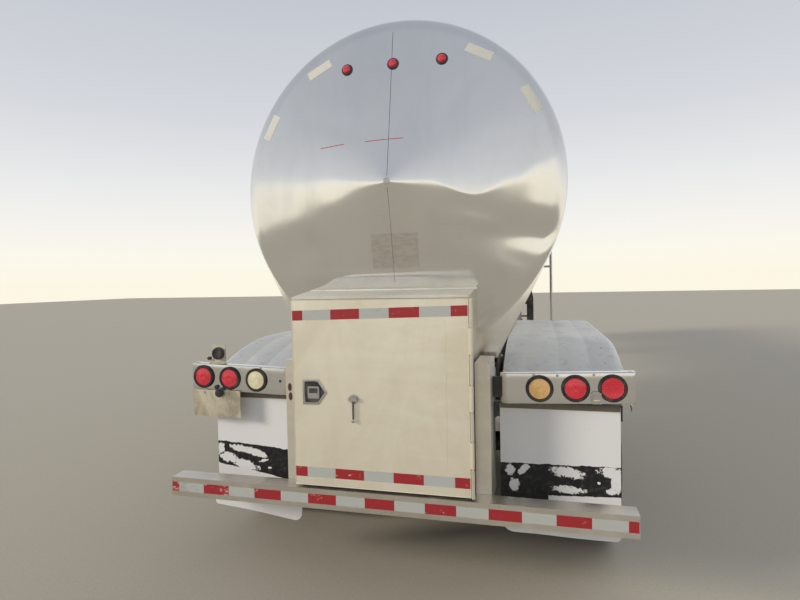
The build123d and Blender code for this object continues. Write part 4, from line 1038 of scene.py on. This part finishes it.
def build_fender(side):
    piece = Piece("fender_skin_" + SIDES[side], "aluminium", "fitting")
    path = fender_path()
    grid = []
    for y, z, ny, nz in path:
        row = []
        for x, drop, lean in fender_section()[::-side]:
            dent = 0.0030 * noise.noise(Vector((x * 3.0 * side, y * 1.6, 4.4)))
            d = drop - 0.0006 - (0.0 if lean else abs(dent))
            cos = math.cos(lean)
            normal = Vector((side * math.sin(lean), ny * cos, nz * cos))
            row.append((Vector((side * x, y + ny * d, z + nz * d)), normal))
        grid.append(row)
    piece.sheet(grid, 0.0034)
    for y, z, ny, nz in path[3::6]:
        for x in (0.60, 1.12):
            at = (side * x, y - ny * 0.004, z - nz * 0.004)
            piece.bolt(at, (0, ny, nz), 0.0045, 1, washer=False)
    piece.done(replaces=["fender_" + SIDES[side]])


# Half of a road tyre's section: (offset, radius) from the bead to the middle of the tread
TYRE_HALF = (
    (0.1015, 0.2870), (0.1015, 0.2990), (0.1075, 0.3020), (0.1085, 0.3070), (0.1060, 0.3110),
    (0.1180, 0.3350), (0.1290, 0.3620), (0.1370, 0.3900), (0.1395, 0.4010), (0.1398, 0.4060),
    (0.1385, 0.4100), (0.1390, 0.4170), (0.1370, 0.4400), (0.1345, 0.4560), (0.1350, 0.4600),
    (0.1310, 0.4760), (0.1275, 0.4930), (0.1270, 0.4980), (0.1240, 0.5080), (0.1180, 0.5165),
    (0.1090, 0.5205), (0.0870, 0.5218), (0.0850, 0.5085), (0.0780, 0.5085), (0.0760, 0.5228),
    (0.0430, 0.5240), (0.0410, 0.5090), (0.0340, 0.5090), (0.0320, 0.5244), (0.0035, 0.5248),
    (0.0030, 0.5120), (0.0, 0.5120),
)
TYRE_STEPS = 204
TREAD_EDGE = 0.080


def build_tyres(axle, side):
    """Two tyres side by side, with cut shoulders and fine cuts across the ribs."""
    name = axle + "_" + SIDES[side]
    piece = Piece("tyre_pair_" + name, "tyre")
    section = list(TYRE_HALF) + [(-x, r) for x, r in TYRE_HALF[-2::-1]]

    def radius_of(k, i, radius):
        shoulder = abs(section[k % len(section)][0]) > TREAD_EDGE
        if shoulder and radius > 0.5150 and i % 6 == 0:
            return radius - 0.0070
        if not shoulder and radius > 0.5200 and i % 3 == 1:
            return radius - 0.0022
        return radius

    for offset in (DUAL_GAP / 2, -DUAL_GAP / 2):
        at = (side * (DUAL_X + offset), AXLE_YS[axle], TYRE_R)
        piece.ring_spin(section, at, (1, 0, 0), 0, TYRE_STEPS, radius_of)
    piece.done(body="wheels_" + name, replaces=["tyres_" + name], angle=28)


WHEEL_FACE_X = DUAL_X + 0.022
HUB_FACE_X = 1.0225
NUT_CIRCLE = 0.1425
HUB_CIRCLE = 0.064


def build_wheel_details(axle, side):
    """Ten nuts with studs, the hub cap's screws and a valve stem."""
    name = axle + "_" + SIDES[side]
    piece = Piece("wheel_nuts_" + name, "fitting", "black")
    out = (side, 0, 0)

    def place(x, radius, a):
        return side * x, AXLE_YS[axle] + radius * math.cos(a), TYRE_R + radius * math.sin(a)

    nut = [(0, 0.022), (0.004, 0.021), (0.005, 0.0165), (0.024, 0.0165), (0.027, 0.013)]
    stud = [(0.027, 0.009), (0.038, 0.009), (0.040, 0.007)]
    for a in arc(10, math.pi / 10):
        piece.turned(nut, place(WHEEL_FACE_X, NUT_CIRCLE, a), out, 0, 6, False)
        piece.turned(stud, place(WHEEL_FACE_X, NUT_CIRCLE, a), out, 0, 10, False)
    for a in arc(6):
        piece.bolt(place(HUB_FACE_X, HUB_CIRCLE, a), out, 0.0055, 0, washer=False)
    stem = [place(x, radius, 0.0) for x, radius in ((1.010, 0.243), (1.040, 0.236), (1.085, 0.232))]
    piece.tube(stem, 0.0045, 0, 8)
    piece.done(body="wheels_" + name)


# The cabinet: its latch and handle as (x, z), and the door's edges
LATCH = (-0.340, 1.063)
HANDLE = (-0.128, 1.035)
LATCH_OUTLINE = ((-0.062, 0.064), (0.024, 0.068), (0.070, 0.0), (0.024, -0.062), (-0.062, -0.064))
# The latch's rim and dish: (share of the outline, height over the door)
LATCH_RIM = ((1.0, 0.0002), (1.0, 0.0045), (0.93, 0.0058), (0.84, 0.0050), (0.80, 0.0012))
LATCH_RIVETS = ((-0.052, 0.054), (0.016, 0.056), (0.016, -0.052), (-0.052, -0.054))
DOOR_X = (-0.4535, 0.4495)
DOOR_Z = (0.5835, 1.5315)
FLASHING_Y = REAR + 0.235
ROOF_PITCH = 0.1275


def build_door_hardware():
    door = Piece("door_hardware", "fitting", "plastic", "seam")
    latch = Vector((LATCH[0], DOOR_Y, LATCH[1]))
    door.loft(
        [[latch + Vector((x * share, -height, z * share)) for x, z in LATCH_OUTLINE]
         for share, height in LATCH_RIM],
        0, 1, smooth=False,
    )
    door.box((-0.034, -0.0085, -0.032), (0.030, -0.0020, 0.030), 0, 0.003, latch)
    door.box((-0.026, -0.0088, -0.004), (0.022, -0.0070, 0.022), 1, 0.0006, latch)
    door.box((-0.022, -0.0089, -0.026), (0.018, -0.0070, -0.010), 0, 0.001, latch)
    handle = Vector((HANDLE[0], DOOR_Y, HANDLE[1]))
    rose = [(0, 0.024), (0.003, 0.0235), (0.004, 0.015), (0.015, 0.013), (0.016, 0)]
    door.turned(rose, handle, REARWARDS, 0, 28)
    door.box((-0.024, -0.0190, -0.010), (0.024, -0.0120, 0.012), 0, 0.003, handle)
    door.box((-0.0045, -0.0165, -0.108), (0.0045, -0.0105, 0.0), 2, 0.0015, handle)
    tip = [(0, 0.0095), (0.0065, 0.0095), (0.0085, 0.006)]
    door.turned(tip, handle + Vector((0, -0.0100, -0.108)), REARWARDS, 0, 18)
    for x, z in LATCH_RIVETS:
        rivet = [(0, 0.0040), (0.0012, 0.0034), (0.0018, 0)]
        door.turned(rivet, latch + Vector((x, -0.0050, z)), REARWARDS, 0, 12)
    door.done(body="cabinet_door", replaces=["door_fittings"])

    edge = Piece("door_edge", "door", "rubber")
    (x0, x1), (z0, z1) = DOOR_X, DOOR_Z
    corners = [(x0, z0), (x1, z0), (x1, z1), (x0, z1)]
    for ends in zip(corners, corners[1:] + corners[:1]):
        edge.tube([(x, DOOR_Y + 0.0005, z) for x, z in ends], 0.0022, 0, 8)
    edge.tube([(0.340, DOOR_Y + 0.0006, 0.70), (0.340, DOOR_Y + 0.0006, 1.43)], 0.0016, 0, 6)
    edge.done(body="cabinet_door")


def build_cabinet_trim():
    """Two slots with rusty rims, their openings drawn as flat black patches of painted shade; the
    flashing over the door and on the roof, rivets.
    """
    shell = Piece("cabinet_trim", "cabinet", "trim", "fitting", "plastic", "rust")

    def slot_loop(x, z0, z1, grow, y):
        half, mid = (z1 - z0) / 2 + grow, (z0 + z1) / 2
        return [(x + (0.007 + grow) * math.cos(a), y, mid + half * math.sin(a)) for a in arc(24)]

    # Painted shade: each slot's opening is a flat black patch laid over a rust rim
    for x, z0, z1 in ((-0.518, 1.048, 1.084), (-0.515, 0.999, 1.035)):
        for mat, grow, out in ((4, 0.0045, 0.0006), (3, 0.0, 0.0012)):
            ys = (CABINET_FRAME_Y + 0.0001, CABINET_FRAME_Y - out)
            shell.loft([slot_loop(x, z0, z1, grow, y) for y in ys], mat, mat, smooth=False)
    shell.box((-0.456, REAR + 0.0180, 1.5350), (0.456, REAR + 0.0450, 1.5500), 0, 0.003)
    rise = 1.5490 + ROOF_PITCH * (FLASHING_Y - REAR - 0.042)
    at = (0, FLASHING_Y, rise)
    shell.box((-0.440, -0.009, -0.001), (0.470, 0.009, 0.006), 1, 0.002, at)
    for z in (0.66, 0.86, 1.06, 1.26, 1.46):
        for side in SIDES:
            at = (side * 0.4445, REAR + 0.125, z)
            rivet = [(0, 0.0055), (0.0020, 0.0048), (0.0034, 0)]
            shell.turned(rivet, at, (side, 0, 0), 2, 12)
    shell.done()


# Frame and running gear
AIR_LINE = (
    (1.00, 0.300, 0.560), (1.00, 0.345, 0.575), (0.90, 0.375, 0.640),
    (0.70, 0.385, 0.760), (0.50, 0.380, 0.900), (0.42, 0.380, 1.000),
)
HANGER_BOLTS = ((-0.075, 0.96), (-0.045, 0.88), (0.030, 0.96), (0.0, 0.808))


def build_frame_details():
    piece = Piece("frame_bolts", "fitting")
    lines = Piece("air_lines", "rubber", "fitting")
    for side in SIDES:
        for axle_y in AXLE_YS.values():
            for dy, z in HANGER_BOLTS:
                for x, out in ((0.462, 1), (0.358, -1)):
                    at = (side * x, axle_y + 0.430 + dy, z)
                    piece.bolt(at, (side * out, 0, 0), 0.012)
            x = side * 0.240
            path = [(x * share, axle_y + dy, z) for share, dy, z in AIR_LINE]
            lines.tube(path, 0.008, 0, 10)
            for dx, dz in ((0.05, 0.05), (-0.05, 0.05), (0.05, -0.05), (-0.05, -0.05)):
                lines.bolt((x + dx, axle_y + 0.300, 0.560 + dz), (0, 1, 0), 0.006, 1)
        for k in range(8):
            for z in (1.165, 1.030):
                at = (side * 0.5535, SHEET_Y + 0.25 + k * 0.52, z)
                piece.bolt(at, (side, 0, 0), 0.009)
        trunk = ((0.105, -4.9, 1.0), (0.105, -3.4, 1.0), (0.12, -2.45, 0.985))
        lines.tube([(side * x, y, z) for x, y, z in trunk], 0.009, 0, 10)
    piece.done()
    lines.done()


def build_reservoir_straps():
    """Steel straps round the air reservoirs, two on each."""
    piece = Piece("reservoir_straps", "fitting")
    strap = [(0.0, 0.1182), (0.0, 0.1202), (0.04, 0.1202), (0.04, 0.1182)]
    for x in (-0.200, 0.200):
        for dy in (0.100, 0.480):
            at = (x, AXLE_YS["front"] + 1.250 + dy, 0.870)
            piece.ring_spin(strap, at, (0, 1, 0), 0, 40)
    piece.done()


def build_jacket_details():
    """The jacket's long seams and the amber lamps at its sides."""
    seams = Piece("jacket_seams", "trim")
    lamps = Piece("side_lamps", "amber", "plastic")
    ring = [(0.0, 0.020), (0.0, 0.032), (0.006, 0.032), (0.009, 0.026), (0.008, 0.022)]
    dome = [(0, 0.0235), (0.008, 0.0235), (0.013, 0.018), (0.016, 0)]
    for side in SIDES:
        ends = (SHEET_Y + 0.04, FRONT - 0.27)
        seams.tube([on_jacket(side, -14, y)[0] for y in ends], 0.0022, 0, 6)
        for y in (0.9, FRONT - 0.75):
            at, out = on_jacket(side, -20, y)
            lamps.ring_spin(ring, at, out, 1, 30)
            lamps.turned(dome, at, out, 0, 28)
    seams.done()
    lamps.done()


def build_landing_details():
    """Bolts and pin holes of the landing legs, and the crank's grip."""
    piece = Piece("landing_bolts", "fitting", "black")
    for side in SIDES:
        for z in (0.98, 1.04, 1.10):
            for dy in (-0.045, 0.045):
                piece.bolt((side * 0.675, LANDING_Y + dy, z), (side, 0, 0), 0.010)
        for k in range(4):
            at = (side * 0.660, LANDING_Y, 0.20 + 0.06 * k)
            piece.turned([(0, 0.010), (0.002, 0.010)], at, (side, 0, 0), 1, 16)
    piece.tube([(x, LANDING_Y - 0.300, 0.880) for x in (-0.935, -0.8)], 0.0165, 1, 14)
    piece.done()


TREAD_PITCH = (0.040, 0.022)


def build_walkway_details():
    """Rows of raised dashes on the walkway, staggered and clear of the manhole."""
    piece = Piece("walkway_treads", "aluminium")
    z = axis_z(MANHOLE_Y) + TANK_R + 0.018
    for row in range(67):
        odd = row % 2
        dy = row * TREAD_PITCH[1] - 0.725
        for k in range(25 - odd):
            x = k * TREAD_PITCH[0] - 0.455 + 0.020 * odd
            if math.hypot(x, dy) > 0.352:
                at = (x, MANHOLE_Y + dy, z)
                piece.box((-0.011, -0.003, -0.0005), (0.011, 0.003, 0.0016), at=at)
    piece.done()


def build_manhole_details():
    """The lid's raised ring, its carrying handle and the collar round its knob."""
    piece = Piece("lid_details", "trim", "rubber", "fitting")
    z = axis_z(MANHOLE_Y) + TANK_R + 0.1503
    ring = [(0.011, 0.236), (0.011, 0.250), (0.016, 0.249), (0.018, 0.243), (0.016, 0.237)]
    piece.ring_spin(ring, (0, MANHOLE_Y, z), UPWARDS, 0, 64)
    half_turn = [math.pi * i / 12 for i in range(13)]
    y = MANHOLE_Y - 0.162
    handle = [(0.085 * math.cos(a), y, z + 0.028 + 0.045 * math.sin(a)) for a in half_turn]
    piece.tube(handle, 0.008, 2, 10)
    collar = [(0.0, 0.0452), (0.0, 0.056), (0.006, 0.056), (0.010, 0.050), (0.026, 0.049),
              (0.029, 0.0452)]
    piece.ring_spin(collar, (0, MANHOLE_Y, z + 0.079), UPWARDS, 2, 40)
    piece.done(body="manhole_lid")


build_sheet()
build_sheet_details()
build_tapes()
build_lamps()
build_lamp_panels()
build_panel_details()
build_plate()
build_door_hardware()
build_cabinet_trim()
for each_side in SIDES:
    build_flap(each_side)
    build_fender(each_side)
    for each_axle in AXLE_YS:
        build_tyres(each_axle, each_side)
        build_wheel_details(each_axle, each_side)
build_frame_details()
build_reservoir_straps()
build_jacket_details()
build_landing_details()
build_walkway_details()
build_manhole_details()


# Stage, light and camera
FLOOR_HALF = 60.0
SKY = (
    (0.00, (0.98, 0.93, 0.78)),
    (0.05, (0.97, 0.94, 0.84)),
    (0.14, (0.86, 0.86, 0.85)),
    (0.28, (0.67, 0.69, 0.73)),
    (0.55, (0.49, 0.52, 0.58)),
    (1.00, (0.36, 0.39, 0.46)),
)
SKY_LIGHT = 0.92


def build_floor():
    floor = bpy.data.meshes.new("floor")
    s = FLOOR_HALF
    floor.from_pydata([(-s, -s, 0), (s, -s, 0), (s, s, 0), (-s, s, 0)], [], [(0, 1, 2, 3)])
    floor.materials.append(floor_material())
    obj = bpy.data.objects.new("floor", floor)
    bpy.context.scene.collection.objects.link(obj)


def build_sky():
    """A pale sky, seen at full strength by the camera and in reflections."""
    world = bpy.data.worlds.new("studio")
    bpy.context.scene.world = world
    world.use_nodes = True
    tree = world.node_tree
    tree.nodes.clear()

    def add(kind, *sources):
        node = tree.nodes.new("ShaderNode" + kind)
        for socket, source in zip(node.inputs, sources):
            tree.links.new(source, socket)
        return node

    def either(a, b):
        node = add("Math", a, b)
        node.operation = "MAXIMUM"
        return node.outputs[0]

    height = add("SeparateXYZ", add("TexCoord").outputs["Generated"]).outputs["Z"]
    ramp = add("ValToRGB", height)
    elements = ramp.color_ramp.elements
    while len(elements) < len(SKY):
        elements.new(0.5)
    for element, (place, color) in zip(elements, SKY):
        element.position = place
        element.color = color + (1.0,)
    skies = []
    for strength in (SKY_LIGHT, 1.0):
        sky = add("Background", ramp.outputs[0])
        sky.inputs["Strength"].default_value = strength
        skies.append(sky.outputs[0])
    rays = add("LightPath").outputs
    seen = either(either(rays["Is Camera Ray"], rays["Is Glossy Ray"]), rays["Is Transmission Ray"])
    add("OutputWorld", add("MixShader", seen, *skies).outputs[0])


def sun(name, travel, strength, angle, color):
    """A soft far lamp whose light travels along the given direction."""
    data = bpy.data.lights.new(name, "SUN")
    data.energy = strength
    data.angle = math.radians(angle)
    data.color = color
    obj = bpy.data.objects.new(name, data)
    obj.rotation_euler = Vector(travel).to_track_quat("-Z", "Y").to_euler()
    obj.visible_glossy = False
    bpy.context.scene.collection.objects.link(obj)


# The photograph's camera: focal length in its pixels, angles in radians
IMAGE_WIDTH = 800.0
FOCAL_PIXELS = 530.0
SENSOR = 36.0
YAW, PITCH, ROLL = 0.255, -0.033, -0.0197
CAMERA_AT = (0.768, REAR - 2.465, 1.612)


def build_camera():
    level = math.cos(PITCH)
    forward = Vector((-math.sin(YAW) * level, math.cos(YAW) * level, math.sin(PITCH)))
    right = Vector((math.cos(YAW), math.sin(YAW), 0.0))
    up = right.cross(forward)
    tilted_right = right * math.cos(ROLL) + up * math.sin(ROLL)
    tilted_up = up * math.cos(ROLL) - right * math.sin(ROLL)
    data = bpy.data.cameras.new("camera")
    data.lens = FOCAL_PIXELS / IMAGE_WIDTH * SENSOR
    data.sensor_width = SENSOR
    data.clip_end = 200.0
    obj = bpy.data.objects.new("camera", data)
    basis = Matrix((tilted_right, tilted_up, -forward)).transposed().to_4x4()
    obj.matrix_world = Matrix.Translation(CAMERA_AT) @ basis
    bpy.context.scene.collection.objects.link(obj)
    bpy.context.scene.camera = obj


build_floor()
build_sky()
sun("key_left", (2.0, 1.2, -0.85), 2.5, 14.0, (1.0, 0.93, 0.82))
sun("fill_front", (-0.6, -1.0, -0.9), 0.8, 60.0, (0.94, 0.97, 1.0))
build_camera()
bpy.context.scene.view_settings.view_transform = "Standard"
